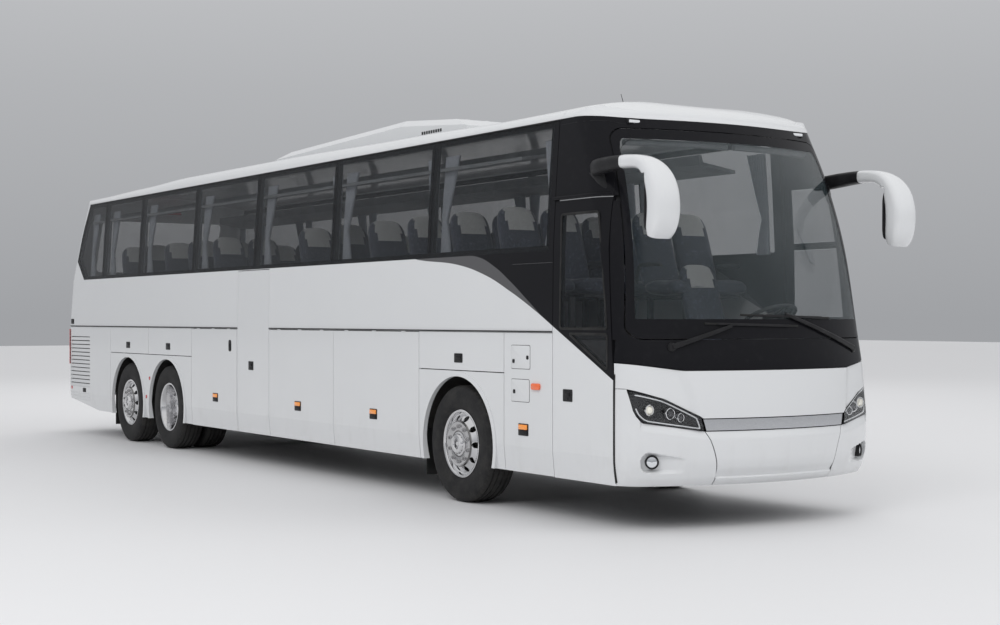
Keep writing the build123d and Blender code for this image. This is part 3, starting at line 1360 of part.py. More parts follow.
convex_disc_points = [
    (RIM_RADIUS - RIM_WALL + 1, RIM_HALF - 40),
    (RIM_RADIUS - RIM_WALL + 1, RIM_HALF - 40 - DISC),
    (NUT_CIRCLE + 34, CONVEX_FACE - DISC),
    (HUB_BORE, CONVEX_FACE - DISC),
    (HUB_BORE, SPINDLE_TIP + 8),
    (0, SPINDLE_TIP + 8),
    (0, CONVEX_HUB),
    (HUB_RADIUS - 26, CONVEX_HUB),
    (HUB_RADIUS, CONVEX_HUB - 18),
    (HUB_RADIUS, CONVEX_FACE),
    (NUT_CIRCLE + 34, CONVEX_FACE),
]
DISH_EDGE = 70.0
DISH_HUB = 50.0
dish_plane = -TWIN_SPACING / 2


def wheel_section(points, x, y, side):
    """Half section of a wheel at an axle, drawn on the plane through the axle line."""
    with BuildSketch(Plane.XY.offset(TYRE_RADIUS)) as section:
        with BuildLine():
            Polyline(*[(x + radius, y + side * out) for radius, out in points], close=True)
        make_face()
    return section.sketch


def axle_line(x):
    """Line that the wheels of an axle turn about."""
    return Axis((x, 0, TYRE_RADIUS), (0, 1, 0))


# Columns: name, axle place, twin tyres
AXLES = [("front", FRONT_AXLE_X, False), ("drive", drive_x, True), ("tag", tag_x, False)]
for axle_name, axle_x, twin in AXLES:
    for side_name, side in (("right", -1), ("left", 1)):
        wheel_y = side * TRACK_HALF
        middles = [wheel_y, wheel_y - side * TWIN_SPACING] if twin else [wheel_y]
        with BuildPart() as tyre:
            for middle_y in middles:
                revolve(wheel_section(tyre_points, axle_x, middle_y, side), axis=axle_line(axle_x))
        save(tyre.part, f"tyre_{axle_name}_{side_name}")
        with BuildPart() as rim:
            for middle_y in middles:
                revolve(wheel_section(barrel_points, axle_x, middle_y, side), axis=axle_line(axle_x))
            if twin:
                disc_y = wheel_y + side * dish_plane
                nut_base_y = disc_y
                nut_reach = 60.0
                for cone in (1, -1):
                    revolve(
                        wheel_section(
                            [
                                (RIM_RADIUS - RIM_WALL + 1, TWIN_SPACING / 2 - DISH_EDGE),
                                (RIM_RADIUS - RIM_WALL + 1, TWIN_SPACING / 2 - DISH_EDGE - DISC),
                                (NUT_CIRCLE + 40, 0),
                                (HUB_BORE, 0),
                                (HUB_BORE, DISC),
                                (NUT_CIRCLE + 34, DISC),
                            ],
                            axle_x,
                            disc_y,
                            cone,
                        ),
                        axis=axle_line(axle_x),
                    )
                revolve(
                    wheel_section(
                        [
                            (HUB_BORE, 0),
                            (HUB_BORE, 66),
                            (0, 66),
                            (0, -dish_plane + DISH_HUB),
                            (HUB_RADIUS, -dish_plane + DISH_HUB),
                            (HUB_RADIUS + 14, 0),
                        ],
                        axle_x,
                        disc_y,
                        side,
                    ),
                    axis=axle_line(axle_x),
                )
                hole_low_y = disc_y - side * 160
            else:
                nut_base_y = wheel_y + side * (CONVEX_FACE - DISC)
                nut_reach = DISC + 26.0
                revolve(wheel_section(convex_disc_points, axle_x, wheel_y, side), axis=axle_line(axle_x))
                hole_low_y = nut_base_y - side * 60
            with BuildSketch(Plane.XZ.offset(-nut_base_y)):
                with Locations((axle_x, TYRE_RADIUS)):
                    with PolarLocations(NUT_CIRCLE, NUTS):
                        RegularPolygon(NUT_RADIUS, 6)
            extrude(amount=-side * nut_reach)
            with BuildSketch(Plane.XZ.offset(-hole_low_y)):
                with Locations((axle_x, TYRE_RADIUS)):
                    with PolarLocations(HAND_HOLE_CIRCLE, HAND_HOLES, 18):
                        RegularPolygon(HAND_HOLE_RADIUS, 10)
            extrude(amount=-side * 320, mode=Mode.SUBTRACT)
        save(rim.part, f"rim_{axle_name}_{side_name}")

# Mudflaps behind the front and the tag wheels
MUDFLAP_LOW_Z = 190.0
MUDFLAP_THICK = 10.0
MUDFLAP_INNER_Y = 940.0
MUDFLAP_OUTER_Y = 1205.0
mudflap_back = math.sqrt(HOUSING_RADIUS**2 - (HOUSING_LOW_Z - TYRE_RADIUS) ** 2) + HOUSING_WALL / 2 - ARCH_FORWARD
with BuildPart() as mudflaps:
    for wheel_x in (FRONT_AXLE_X, tag_x):
        for side in (-1, 1):
            with BuildSketch(Plane.XY.offset(MUDFLAP_LOW_Z)):
                with Locations((wheel_x - mudflap_back, side * (MUDFLAP_INNER_Y + MUDFLAP_OUTER_Y) / 2)):
                    Rectangle(MUDFLAP_THICK, MUDFLAP_OUTER_Y - MUDFLAP_INNER_Y)
            extrude(amount=HOUSING_LOW_Z - MUDFLAP_LOW_Z)
save(mudflaps.part, "mudflaps")

# Mirrors on arms from the upper corners of the front
MIRROR_Y = 1240.0
with BuildPart() as mirror_right:
    with BuildLine() as arm_path:
        FilletPolyline(
            (ahead(1990.0), -MIRROR_Y + 60, 2800),
            (ahead(2380.0), -MIRROR_Y, 2870),
            (ahead(2720.0), -MIRROR_Y, 2860),
            (ahead(2840.0), -MIRROR_Y, 2640),
            radius=70,
        )
    with BuildSketch(Plane(origin=arm_path.line @ 0, z_dir=arm_path.line % 0)):
        RectangleRounded(70, 110, 30)
    sweep()
    with BuildSketch(Plane.XZ.offset(MIRROR_Y - 115)):
        with BuildLine():
            Polyline(
                (ahead(2650.0), 2700),
                (ahead(2800.0), 2770),
                (ahead(2920.0), 2640),
                (ahead(2985.0), 2430),
                (ahead(2930.0), 2250),
                (ahead(2800.0), 2215),
                (ahead(2740.0), 2260),
                close=True,
            )
        make_face()
    extrude(amount=230)
    add(nose_outer, mode=Mode.SUBTRACT)
with BuildPart() as mirrors:
    add(mirror_right.part)
    mirror(about=Plane.XZ)
save(mirrors.part, "mirrors")

# Windscreen wipers, lying on the glass. Columns: pivot, far end of the arm, two ends of the blade, as Y and Z
WIPER_PROUD = 25.0
WIPER_ARM = 24.0
WIPER_BLADE = 18.0
WIPERS = [
    ((-930.0, 1408.0), (-435.0, 1569.0), (-651.0, 1587.0), (236.0, 1567.0)),
    ((990.0, 1380.0), (98.0, 1662.0), (-331.0, 1654.0), (660.0, 1631.0)),
]
with BuildPart() as wipers:
    add(body_end(nose_plan, -WIPER_PROUD, BELT_Z, MID_WINDOW_Z))
    with BuildSketch(Plane.YZ.offset(ahead(2000.0))) as wiper_outline:
        for pivot, elbow, blade_start, blade_end in WIPERS:
            with BuildLine():
                Line(pivot, elbow)
            trace(line_width=WIPER_ARM)
            with BuildLine():
                Line(blade_start, blade_end)
            trace(line_width=WIPER_BLADE)
            with Locations(pivot):
                Circle(32)
    extrude(amount=REACH, mode=Mode.INTERSECT)
    add(nose_outer, mode=Mode.SUBTRACT)
save(wipers.part, "wipers")
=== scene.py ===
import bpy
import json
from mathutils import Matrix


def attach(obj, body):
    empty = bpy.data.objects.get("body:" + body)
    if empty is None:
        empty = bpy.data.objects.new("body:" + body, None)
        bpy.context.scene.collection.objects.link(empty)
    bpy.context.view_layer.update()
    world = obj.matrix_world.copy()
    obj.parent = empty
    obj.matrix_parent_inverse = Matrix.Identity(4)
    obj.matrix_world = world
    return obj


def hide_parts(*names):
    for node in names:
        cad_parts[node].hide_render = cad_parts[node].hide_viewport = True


bl_info = {
    "name": "Touring coach",
    "version": (1, 0, 0),
    "blender": (4, 5, 0),
    "location": "3D View > Sidebar > Coach",
    "description": "Builds the finished looks of a three-axle touring coach round its packed solids",
    "category": "Add Mesh",
}

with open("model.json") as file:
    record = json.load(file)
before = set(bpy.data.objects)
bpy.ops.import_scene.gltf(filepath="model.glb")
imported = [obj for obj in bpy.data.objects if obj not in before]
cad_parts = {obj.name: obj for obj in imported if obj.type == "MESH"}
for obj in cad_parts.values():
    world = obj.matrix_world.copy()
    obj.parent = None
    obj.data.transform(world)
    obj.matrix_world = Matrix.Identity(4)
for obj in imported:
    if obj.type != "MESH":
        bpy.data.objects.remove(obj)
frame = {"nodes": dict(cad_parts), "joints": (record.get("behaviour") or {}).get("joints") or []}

import json
import math
import bpy
from mathutils import Matrix, Vector

NODES = frame["nodes"]
JOINTS = {joint["name"]: joint for joint in frame["joints"]}
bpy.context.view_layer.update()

# Directions: to the front, to the left and upwards
ALONG, ACROSS, UP = (1, 0, 0), (0, 1, 0), (0, 0, 1)
# Places shared with the solids, in metres
AXLE_X = JOINTS["spin_front_right"]["pos_m"][0]
DRIVE_X = JOINTS["spin_drive_right"]["pos_m"][0]
TAG_X = JOINTS["spin_tag_right"]["pos_m"][0]
AXLE_Z = JOINTS["spin_front_right"]["pos_m"][2]
TRACK = abs(JOINTS["spin_front_right"]["pos_m"][1])
TWIN_SPACING = 0.336
SKIRT_Z = 0.345
BELT_Z = 1.230
FLOOR_Z = 1.512
SILL_Z = 2.175
WINDOW_Z = 3.240
HALF_WIDTH = 1.275
SEAM = 0.008
# What each piece of the front stands back from the joint beside it
GAP = 0.004
DOOR_REAR = 1.500
DOOR_FRONT = 2.325
CORNER_SEAM = 2.329
FRONT_CORNER = 0.280
MID_DOOR = (-4.820, -3.970)
PANE_ENDS = (1.435, -0.505, -2.467, -4.381, -6.191, -8.054, -9.472)

# The front of the body at each height: half width, nose ahead of the front axle, radius of the front
LEVELS = (
    (0.345, 1.255, 2.770, 2.600),
    (0.560, 1.275, 2.840, 2.500),
    (0.760, 1.275, 2.850, 2.500),
    (1.230, 1.275, 2.805, 2.500),
    (1.512, 1.275, 2.748, 2.500),
    (2.175, 1.268, 2.605, 2.600),
    (2.750, 1.236, 2.400, 2.800),
    (3.240, 1.200, 2.150, 3.000),
)


# Selecting, finishing and placing

def deselect():
    """Nothing is selected."""
    if bpy.context.object and bpy.context.object.mode != "OBJECT":
        bpy.ops.object.mode_set(mode="OBJECT")
    bpy.ops.object.select_all(action="DESELECT")


def take(obj):
    """Only this object is selected, and it is the active one."""
    deselect()
    obj.select_set(True)
    bpy.context.view_layer.objects.active = obj
    return obj


def settle(obj):
    """The object's place, turn and size go into its mesh."""
    take(obj)
    bpy.ops.object.transform_apply(location=True, rotation=True, scale=True)
    return obj


def apply_modifiers(obj):
    """Every modifier of the object is applied, in order."""
    take(obj)
    for modifier in list(obj.modifiers):
        bpy.ops.object.modifier_apply(modifier=modifier.name)
    return obj


def thicken(obj, thickness, offset=-1.0):
    """Gives a sheet its thickness, inwards by default."""
    modifier = obj.modifiers.new("thickness", "SOLIDIFY")
    modifier.thickness = thickness
    modifier.offset = offset
    modifier.use_even_offset = True
    return apply_modifiers(obj)


def round_edges(obj, width, segments=2, angle=35.0):
    """Rounds the sharp edges of a piece."""
    modifier = obj.modifiers.new("edges", "BEVEL")
    modifier.width = width
    modifier.segments = segments
    modifier.limit_method = "ANGLE"
    modifier.angle_limit = math.radians(angle)
    return apply_modifiers(obj)


def shade(obj, angle=35.0):
    """Shades a piece smooth, apart from edges sharper than the angle."""
    take(obj)
    bpy.ops.object.shade_smooth_by_angle(angle=math.radians(angle))
    return obj


def edit(obj, *steps):
    """Runs mesh operators on the whole of a piece, each with its settings."""
    take(obj)
    bpy.ops.object.mode_set(mode="EDIT")
    for operator, settings in steps:
        bpy.ops.mesh.select_all(action="SELECT")
        operator(**settings)
    bpy.ops.object.mode_set(mode="OBJECT")
    return obj


MERGE = (bpy.ops.mesh.remove_doubles, {"threshold": 1e-5})
OUTWARDS = (bpy.ops.mesh.normals_make_consistent, {"inside": False})


def recalculate(obj):
    """Merges doubled points and turns every face outwards."""
    return edit(obj, MERGE, OUTWARDS)


def joined(name, pieces):
    """Several objects become one."""
    deselect()
    for piece in pieces:
        piece.select_set(True)
    bpy.context.view_layer.objects.active = pieces[0]
    if len(pieces) > 1:
        bpy.ops.object.join()
    pieces[0].name = name
    pieces[0].data.name = name
    return pieces[0]


def copied(obj, name, matrix):
    """A copy with its own mesh, moved by a matrix in its mesh."""
    take(obj)
    bpy.ops.object.duplicate(linked=False)
    copy = bpy.context.object
    copy.name = name
    copy.data.name = name
    copy.data.transform(matrix)
    return edit(copy, (bpy.ops.mesh.flip_normals, {})) if matrix.to_3x3().determinant() < 0 else copy


MIRROR = Matrix.Diagonal((1, -1, 1, 1))


def both_sides(name, right):
    """A right-hand piece and its mirror image as one piece."""
    left = copied(right, name + "_left", MIRROR)
    return joined(name, [right, left])


def remove(*objects):
    """Objects that have served are taken out."""
    for obj in objects:
        bpy.data.objects.remove(obj)


def cut(obj, tool):
    """Cuts a piece with another, which is used up."""
    modifier = obj.modifiers.new("cut", "BOOLEAN")
    modifier.operation = "DIFFERENCE"
    modifier.solver = "EXACT"
    modifier.object = tool
    apply_modifiers(obj)
    remove(tool)
    return obj


def place(obj, material, body="root", replaces=()):
    """Gives a finished piece its material, its body and the nodes that it stands for."""
    if material is not None:
        obj.data.materials.clear()
        obj.data.materials.append(material)
    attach(obj, body)
    if replaces:
        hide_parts(*replaces)
    return obj


def fit(name, parts, angle, finish, body="root", replaces=()):
    """Joins parts into one piece, shades it and places it."""
    return place(shade(joined(name, parts), angle), stuff(finish), body, replaces)


def fit_pair(name, parts, angle, finish, replaces=()):
    """The same for a piece or a list of parts on the right side, with its mirror image."""
    right = joined("right", parts) if isinstance(parts, list) else parts
    return place(shade(both_sides(name, right), angle), stuff(finish), "root", replaces)


# Starting shapes

def moulded(name, points):
    """Names the piece made last and moves its points to their places."""
    obj = bpy.context.object
    obj.name = name
    obj.data.vertices.foreach_set("co", [value for point in points for value in point])
    obj.data.update()
    return obj


def block(name, low, high):
    """A box between two corners, from a cube."""
    low, high = Vector(low), Vector(high)
    deselect()
    bpy.ops.mesh.primitive_cube_add(size=1, location=(low + high) / 2)
    obj = bpy.context.object
    obj.name = name
    obj.scale = high - low
    return settle(obj)


def soft_block(name, low, high, width, segments=2):
    """A box with its edges rounded."""
    return round_edges(block(name, low, high), width, segments)


def drum(name, start, end, radius, sides=32, radius_end=None):
    """A round bar or cone between two points."""
    start, end = Vector(start), Vector(end)
    deselect()
    bpy.ops.mesh.primitive_cone_add(
        vertices=sides,
        radius1=radius,
        radius2=radius if radius_end is None else radius_end,
        depth=(end - start).length,
        location=(start + end) / 2,
        rotation=(end - start).to_track_quat("Z", "Y").to_euler(),
    )
    obj = bpy.context.object
    obj.name = name
    return settle(obj)


def grid(name, rows):
    """A sheet of quads through rows of points, from a grid whose points are moved there."""
    down, across = len(rows), len(rows[0])
    deselect()
    bpy.ops.mesh.primitive_grid_add(x_subdivisions=across - 1, y_subdivisions=down - 1, size=2)
    return moulded(name, [point for row in rows for point in row])


def loft(name, rings, caps=True):
    """A skin through closed rings of points, with its ends closed."""
    obj = edit(grid(name, [list(ring) + [ring[0]] for ring in rings]), MERGE)
    if caps:
        bpy.ops.object.mode_set(mode="EDIT")
        for closing, settings in ((bpy.ops.mesh.edge_face_add, {}), (bpy.ops.mesh.fill_holes, {"sides": 0})):
            bpy.ops.mesh.select_all(action="DESELECT")
            bpy.ops.mesh.select_non_manifold()
            closing(**settings)
    return edit(obj, OUTWARDS)


def plate(name, points, depth):
    """A flat outline given as points in space, pushed along a vector into a solid."""
    deselect()
    bpy.ops.mesh.primitive_circle_add(vertices=len(points), fill_type="NGON")
    push = (bpy.ops.mesh.extrude_region_move, {"TRANSFORM_OT_translate": {"value": tuple(depth)}})
    return edit(moulded(name, points), push, OUTWARDS)


def turned(name, profile, steps):
    """A body turned about the Y axis from a profile of (radius, along Y)."""
    deselect()
    bpy.ops.mesh.primitive_circle_add(vertices=len(profile), fill_type="NOTHING")
    spin = (bpy.ops.mesh.spin, {"steps": steps, "angle": math.tau, "center": (0, 0, 0), "axis": ACROSS})
    return edit(moulded(name, [(0, y, radius) for radius, y in profile]), spin, MERGE, OUTWARDS)


def oval(centre, across, up, reach_across, reach_up, count=16, power=2.0):
    """A ring of points round a centre, from a circle at power 2 to a rounded box above it."""
    ring = []
    for i in range(count):
        turn = math.tau * (i + 0.5) / count
        c, s = math.cos(turn), math.sin(turn)
        c = math.copysign(abs(c) ** (2 / power), c)
        s = math.copysign(abs(s) ** (2 / power), s)
        ring.append(Vector(centre) + Vector(across) * c * reach_across + Vector(up) * s * reach_up)
    return ring


def smooth_path(points, steps):
    """Points along a smooth line through the given rows of numbers."""
    out = []
    last = len(points) - 1
    for i in range(last):
        before, a, b, after = (points[max(i - 1, 0)], points[i], points[i + 1], points[min(i + 2, last)])
        for k in range(steps + (i == last - 1)):
            t = k / steps
            row = []
            for p, q, r, s in zip(before, a, b, after):
                square, cube = 2 * p - 5 * q + 4 * r - s, 3 * q - p - 3 * r + s
                row.append(0.5 * (2 * q + (r - p) * t + square * t * t + cube * t**3))
            out.append(row)
    return out


# The smooth front of the body

def level_at(z):
    """Half width, nose and radius of the front at a height, smooth between the levels."""
    z = min(max(z, LEVELS[0][0]), LEVELS[-1][0])
    k = next(i for i in range(len(LEVELS) - 1) if z <= LEVELS[i + 1][0])
    low, high = LEVELS[k], LEVELS[k + 1]
    step = high[0] - low[0]
    t = (z - low[0]) / step
    values = []
    for column in (1, 2, 3):
        def slope(i):
            if i == 0 or i == len(LEVELS) - 1:
                j = 1 if i == 0 else len(LEVELS) - 1
                return (LEVELS[j][column] - LEVELS[j - 1][column]) / (LEVELS[j][0] - LEVELS[j - 1][0])
            before, here, after = LEVELS[i - 1], LEVELS[i], LEVELS[i + 1]
            down = (here[column] - before[column]) / (here[0] - before[0])
            up = (after[column] - here[column]) / (after[0] - here[0])
            return 0.0 if down * up <= 0 else 2 * down * up / (down + up)

        a, b = low[column], high[column]
        m0, m1 = slope(k) * step, slope(k + 1) * step
        ends = a * (2 * t**3 - 3 * t * t + 1) + m0 * (t**3 - 2 * t * t + t)
        values.append(ends + b * (3 * t * t - 2 * t**3) + m1 * (t**3 - t * t))
    return values


def front_plan(z):
    """The measures of the front's plan at a height."""
    half, nose, radius = level_at(z)
    centre_x = nose - radius
    centre_y = half - FRONT_CORNER
    corner_x = centre_x + math.sqrt((radius - FRONT_CORNER) ** 2 - centre_y**2)
    turn = math.atan2(centre_y, corner_x - centre_x)
    return half, radius, centre_x, centre_y, corner_x, turn


def skin_point(s, z, inset=0.0):
    """A point of the front's skin: s is measured round the plan from the middle, to the left."""
    half, radius, centre_x, centre_y, corner_x, turn = front_plan(z)
    side = -1 if s < 0 else 1
    s = abs(s)
    front = radius * turn
    corner = FRONT_CORNER * (math.pi / 2 - turn)
    if s < front:
        angle = s / radius
        x, y = centre_x + (radius - inset) * math.cos(angle), (radius - inset) * math.sin(angle)
    elif s < front + corner:
        angle = turn + (s - front) / FRONT_CORNER
        x = corner_x + (FRONT_CORNER - inset) * math.cos(angle)
        y = centre_y + (FRONT_CORNER - inset) * math.sin(angle)
    else:
        x, y = corner_x - (s - front - corner), half - inset
    return Vector((AXLE_X + x, side * y, z))


def round_at_y(y, z):
    """How far round the plan the skin reaches a distance to the left of the middle."""
    _, radius, _, centre_y, _, turn = front_plan(z)
    side = -1 if y < 0 else 1
    y = abs(y)
    if y <= radius * math.sin(turn):
        return side * radius * math.asin(y / radius)
    angle = math.asin(min((y - centre_y) / FRONT_CORNER, 1.0))
    return side * (radius * turn + FRONT_CORNER * (angle - turn))


def round_at_x(x, z):
    """How far round the plan, to the left, the skin reaches a distance ahead of the front axle."""
    _, radius, _, _, corner_x, turn = front_plan(z)
    if x > corner_x:
        angle = math.acos(min((x - corner_x) / FRONT_CORNER, 1.0))
        return radius * turn + FRONT_CORNER * (angle - turn)
    return radius * turn + FRONT_CORNER * (math.pi / 2 - turn) + corner_x - x


def heights(low, high, step):
    """Even heights between two, both included."""
    count = max(1, round((high - low) / step))
    return [low + (high - low) * i / count for i in range(count + 1)]


def skin(name, zs, right, left, columns, inset=0.0, thickness=0.012):
    """A patch of the front's skin between two edges, each a function of height."""
    rows = []
    for z in zs:
        a, b = right(z), left(z)
        rows.append([skin_point(a + (b - a) * i / columns, z, inset) for i in range(columns + 1)])
    patch = grid(name, rows)
    return thicken(patch, thickness) if thickness else patch


def on_nose(y, z, proud=0.0):
    """The point of the front's skin at a distance to the left and a height."""
    return skin_point(round_at_y(y, z), z, -proud)


# Materials

class Wire:
    """An output of a node. Python maths on it adds Math nodes."""

    def __init__(self, surface, socket):
        self.surface = surface
        self.socket = socket

    def maths(self, operation, first, second):
        return self.surface.maths(operation, first, second)

    def __add__(self, other):
        return self.maths("ADD", self, other)

    __radd__ = __add__

    def __sub__(self, other):
        return self.maths("SUBTRACT", self, other)

    def __rsub__(self, other):
        return self.maths("SUBTRACT", other, self)

    def __mul__(self, other):
        return self.maths("MULTIPLY", self, other)

    __rmul__ = __mul__

    def __truediv__(self, other):
        return self.maths("DIVIDE", self, other)

    def within(self, low, high, soft):
        """1 between two values and 0 outside, with soft edges."""
        rise = self.surface.ramp(self, low - soft, low + soft)
        fall = self.surface.ramp(self, high - soft, high + soft)
        return rise * (1 - fall)


class Surface:
    """One material, built node by node."""

    def __init__(self, name):
        self.material = bpy.data.materials.new(name)
        self.material.use_nodes = True
        self.tree = self.material.node_tree
        self.tree.nodes.clear()

    def node(self, kind, settings=None, inputs=None, output=0):
        """Adds a node with its settings and the values or wires of its sockets, and gives one output."""
        node = self.tree.nodes.new(kind)
        for key, value in (settings or {}).items():
            if key == "curve":
                curve = node.mapping.curves[0]
                while len(curve.points) < len(value):
                    curve.points.new(0.5, 0.5)
                for point, place_on in zip(curve.points, value):
                    point.location = place_on
                node.mapping.use_clip = False
                node.mapping.update()
            else:
                setattr(node, key, value)
        for key, value in (inputs or {}).items():
            socket = node.inputs[key]
            if isinstance(value, Wire):
                self.tree.links.new(value.socket, socket)
            elif value is not None:
                socket.default_value = value
        self.last = node
        return Wire(self, node.outputs[output]) if len(node.outputs) else None

    def maths(self, operation, first, second=None):
        """A Math node on one or two values or wires."""
        return self.node("ShaderNodeMath", {"operation": operation}, {0: first, 1: second})

    def place_axes(self):
        """X, Y and Z of the point on the object, in metres."""
        here = self.node("ShaderNodeTexCoord", output="Object")
        self.node("ShaderNodeSeparateXYZ", None, {0: here})
        return [Wire(self, self.last.outputs[i]) for i in range(3)]

    def position(self):
        """The point on the object."""
        return self.node("ShaderNodeTexCoord", output="Object")

    def ramp(self, value, low, high):
        """0 to 1 as a value goes from low to high, smooth at both ends."""
        return self.node(
            "ShaderNodeMapRange",
            {"interpolation_type": "SMOOTHSTEP"},
            {"Value": value, "From Min": low, "From Max": high, "To Min": 0.0, "To Max": 1.0},
        )

    def noise(self, scale, detail=3.0, roughness=0.5, stretch=None):
        """Noise from 0 to 1, with its scale in waves a metre, stretched along the axes if asked."""
        where = self.position()
        if stretch:
            where = self.node("ShaderNodeVectorMath", {"operation": "MULTIPLY"}, {0: where, 1: stretch})
        return self.node(
            "ShaderNodeTexNoise", None, {"Vector": where, "Scale": scale, "Detail": detail, "Roughness": roughness}
        )

    def blend(self, factor, first, second):
        """Two colours mixed by a factor."""
        inputs = {0: factor}
        inputs[6] = first if isinstance(first, Wire) else (*first, 1.0)
        inputs[7] = second if isinstance(second, Wire) else (*second, 1.0)
        return self.node("ShaderNodeMix", {"data_type": "RGBA", "clamp_factor": True}, inputs, output=2)

    def bump(self, height, distance, strength=1.0):
        """A normal from a height, with the distance in metres that a height of 1 stands for."""
        return self.node("ShaderNodeBump", None, {"Height": height, "Distance": distance, "Strength": strength})

    def finish(self, **inputs):
        """The shader, with its values and wires by socket name, and the material."""
        named = {key.replace("_", " "): value for key, value in inputs.items()}
        for key in ("Base Color", "Emission Color"):
            if key in named and not isinstance(named[key], Wire):
                named[key] = (*named[key], 1.0)
        wire = self.node("ShaderNodeBsdfPrincipled", None, named)
        self.node("ShaderNodeOutputMaterial", None, {"Surface": wire})
        return self.material


# Share of dirt in the paint's tone at the skirt
ROAD_FILM = 0.10

# Livery lines on the side, as distance ahead of the front axle and height
WAVE = (
    (-0.75, 2.175), (-0.69, 2.166), (0.0, 2.103), (0.44, 2.008), (0.86, 1.857), (1.25, 1.688), (1.5, 1.565),
    (2.33, 1.146),
)
SWOOSH_TOP = (
    (-0.6, 2.176), (0.0, 2.184), (0.36, 2.157), (0.61, 2.071), (0.86, 1.941), (1.13, 1.777), (1.33, 1.652),
    (1.48, 1.55),
)


def line_height(surface, x, points):
    """The height of a livery line over x, from its points."""
    low, high = points[0][0], points[-1][0]
    along = (x - (AXLE_X + low)) / (high - low)
    curve = [((px - low) / (high - low), pz - 1.0) for px, pz in points]
    value = surface.node("ShaderNodeFloatCurve", {"curve": curve}, {"Value": along})
    return value + 1.0


def paint_texture(surface, colour):
    """Gloss paint: cloudy tone, road film near the skirt, and a fine orange peel."""
    z = surface.place_axes()[2]
    cloud = surface.noise(1.3, 4.0, 0.55)
    grime = surface.ramp(surface.noise(6.0, 5.0, 0.65), 0.35, 0.75)
    film = (1 - surface.ramp(z, 0.35, 1.0)) * grime * ROAD_FILM
    streak = surface.noise(9.0, 3.0, 0.5, (1.0, 1.0, 0.12))
    tone = surface.blend(surface.ramp(cloud, 0.3, 0.7) * 0.05, colour, (0.55, 0.56, 0.58))
    tone = surface.blend(film * surface.ramp(streak, 0.4, 0.65), tone, (0.36, 0.34, 0.31))
    roughness = 0.16 + surface.ramp(cloud, 0.35, 0.65) * 0.06 + film * 0.3
    peel = surface.bump(surface.noise(260.0, 2.0, 0.5), 0.00012, 0.25)
    return tone, roughness, peel


def coach_paint(name):
    """White coachwork paint, for panels without livery."""
    surface = Surface(name)
    tone, roughness, peel = paint_texture(surface, bpy.context.scene.coach_colours.paint)
    return surface.finish(Base_Color=tone, Roughness=roughness, Normal=peel, Coat_Weight=0.5, Coat_Roughness=0.06)


def livery_paint(name):
    """Side paint: white, with the black window band, the black fore part over the wave and the grey swoosh."""
    surface = Surface(name)
    x, _, z = surface.place_axes()
    soft = 0.0015
    wave = line_height(surface, x, WAVE)
    swoosh = line_height(surface, x, SWOOSH_TOP)
    fore = surface.ramp(x, AXLE_X - 0.752, AXLE_X - 0.748)
    over_wave = surface.ramp(z - wave, -soft, soft) * fore
    grey = (1 - surface.ramp(z - swoosh, -soft, soft)) * (1 - surface.ramp(x, AXLE_X + 1.44, AXLE_X + 1.46))
    tip_high = surface.ramp(x - (z - 2.49) * 0.63, AXLE_X - 10.652, AXLE_X - 10.648)
    slant_low = surface.ramp(x + (z - 2.49) * 1.238, AXLE_X - 10.652, AXLE_X - 10.648)
    band = surface.ramp(z, SILL_Z - soft, SILL_Z + soft) * (1 - surface.ramp(z, 3.2395, 3.2405))
    black = surface.maths("MAXIMUM", band * tip_high * slant_low, over_wave)
    colours = bpy.context.scene.coach_colours
    tone, roughness, peel = paint_texture(surface, colours.paint)
    tone = surface.blend(black, tone, colours.band)
    below_band = 1 - surface.ramp(z, SILL_Z - soft, SILL_Z + soft)
    tone = surface.blend(over_wave * grey * below_band, tone, colours.swoosh)
    return surface.finish(
        Base_Color=tone, Roughness=roughness, Normal=peel, Coat_Weight=(1 - black) * 0.5, Coat_Roughness=0.06,
        Specular_IOR_Level=0.08,
    )


def black_gloss(name):
    """Gloss black panels round the windscreen."""
    surface = Surface(name)
    cloud = surface.noise(2.1, 4.0, 0.6)
    dust = surface.ramp(surface.noise(14.0, 6.0, 0.7), 0.5, 0.9) * 0.05
    tone = surface.blend(dust, (0.010, 0.010, 0.012), (0.16, 0.16, 0.16))
    roughness = 0.06 + surface.ramp(cloud, 0.3, 0.7) * 0.05
    return surface.finish(Base_Color=tone, Roughness=roughness, Specular_IOR_Level=0.10)


def tinted_glass(name, tint, clear, murk, coat=0.0):
    """Safety glass: clear seen square on, and a mirror seen along it, with a little dust."""
    surface = Surface(name)
    facing = surface.node("ShaderNodeLayerWeight", None, {"Blend": 0.35}, output="Facing")
    dust = surface.ramp(surface.noise(3.0, 5.0, 0.6), 0.35, 0.8)
    alpha = 1 - (1 - facing * 0.60) * clear * (1 - dust * 0.06)
    tone = surface.blend(dust * 0.12, tint, murk)
    return surface.finish(Base_Color=tone, Roughness=0.02 + dust * 0.02, Alpha=alpha, IOR=1.52, Coat_Weight=coat)


def grained(name, colour, second, grain, depth, roughness, mottle=6.0, metallic=0.0, shine=0.5):
    """Moulded, cast or coated stuff: a mottled tone and a fine grain in the surface."""
    surface = Surface(name)
    patch = surface.ramp(surface.noise(mottle, 5.0, 0.6), 0.3, 0.75)
    fine = surface.noise(grain, 3.0, 0.6)
    tone = surface.blend(patch, colour, second)
    low, high = roughness
    rough = low + (high - low) * surface.ramp(surface.noise(mottle * 3, 4.0, 0.6), 0.3, 0.7)
    return surface.finish(
        Base_Color=tone, Roughness=rough, Metallic=metallic, Specular_IOR_Level=shine,
        Normal=surface.bump(fine, depth, 0.5),
    )


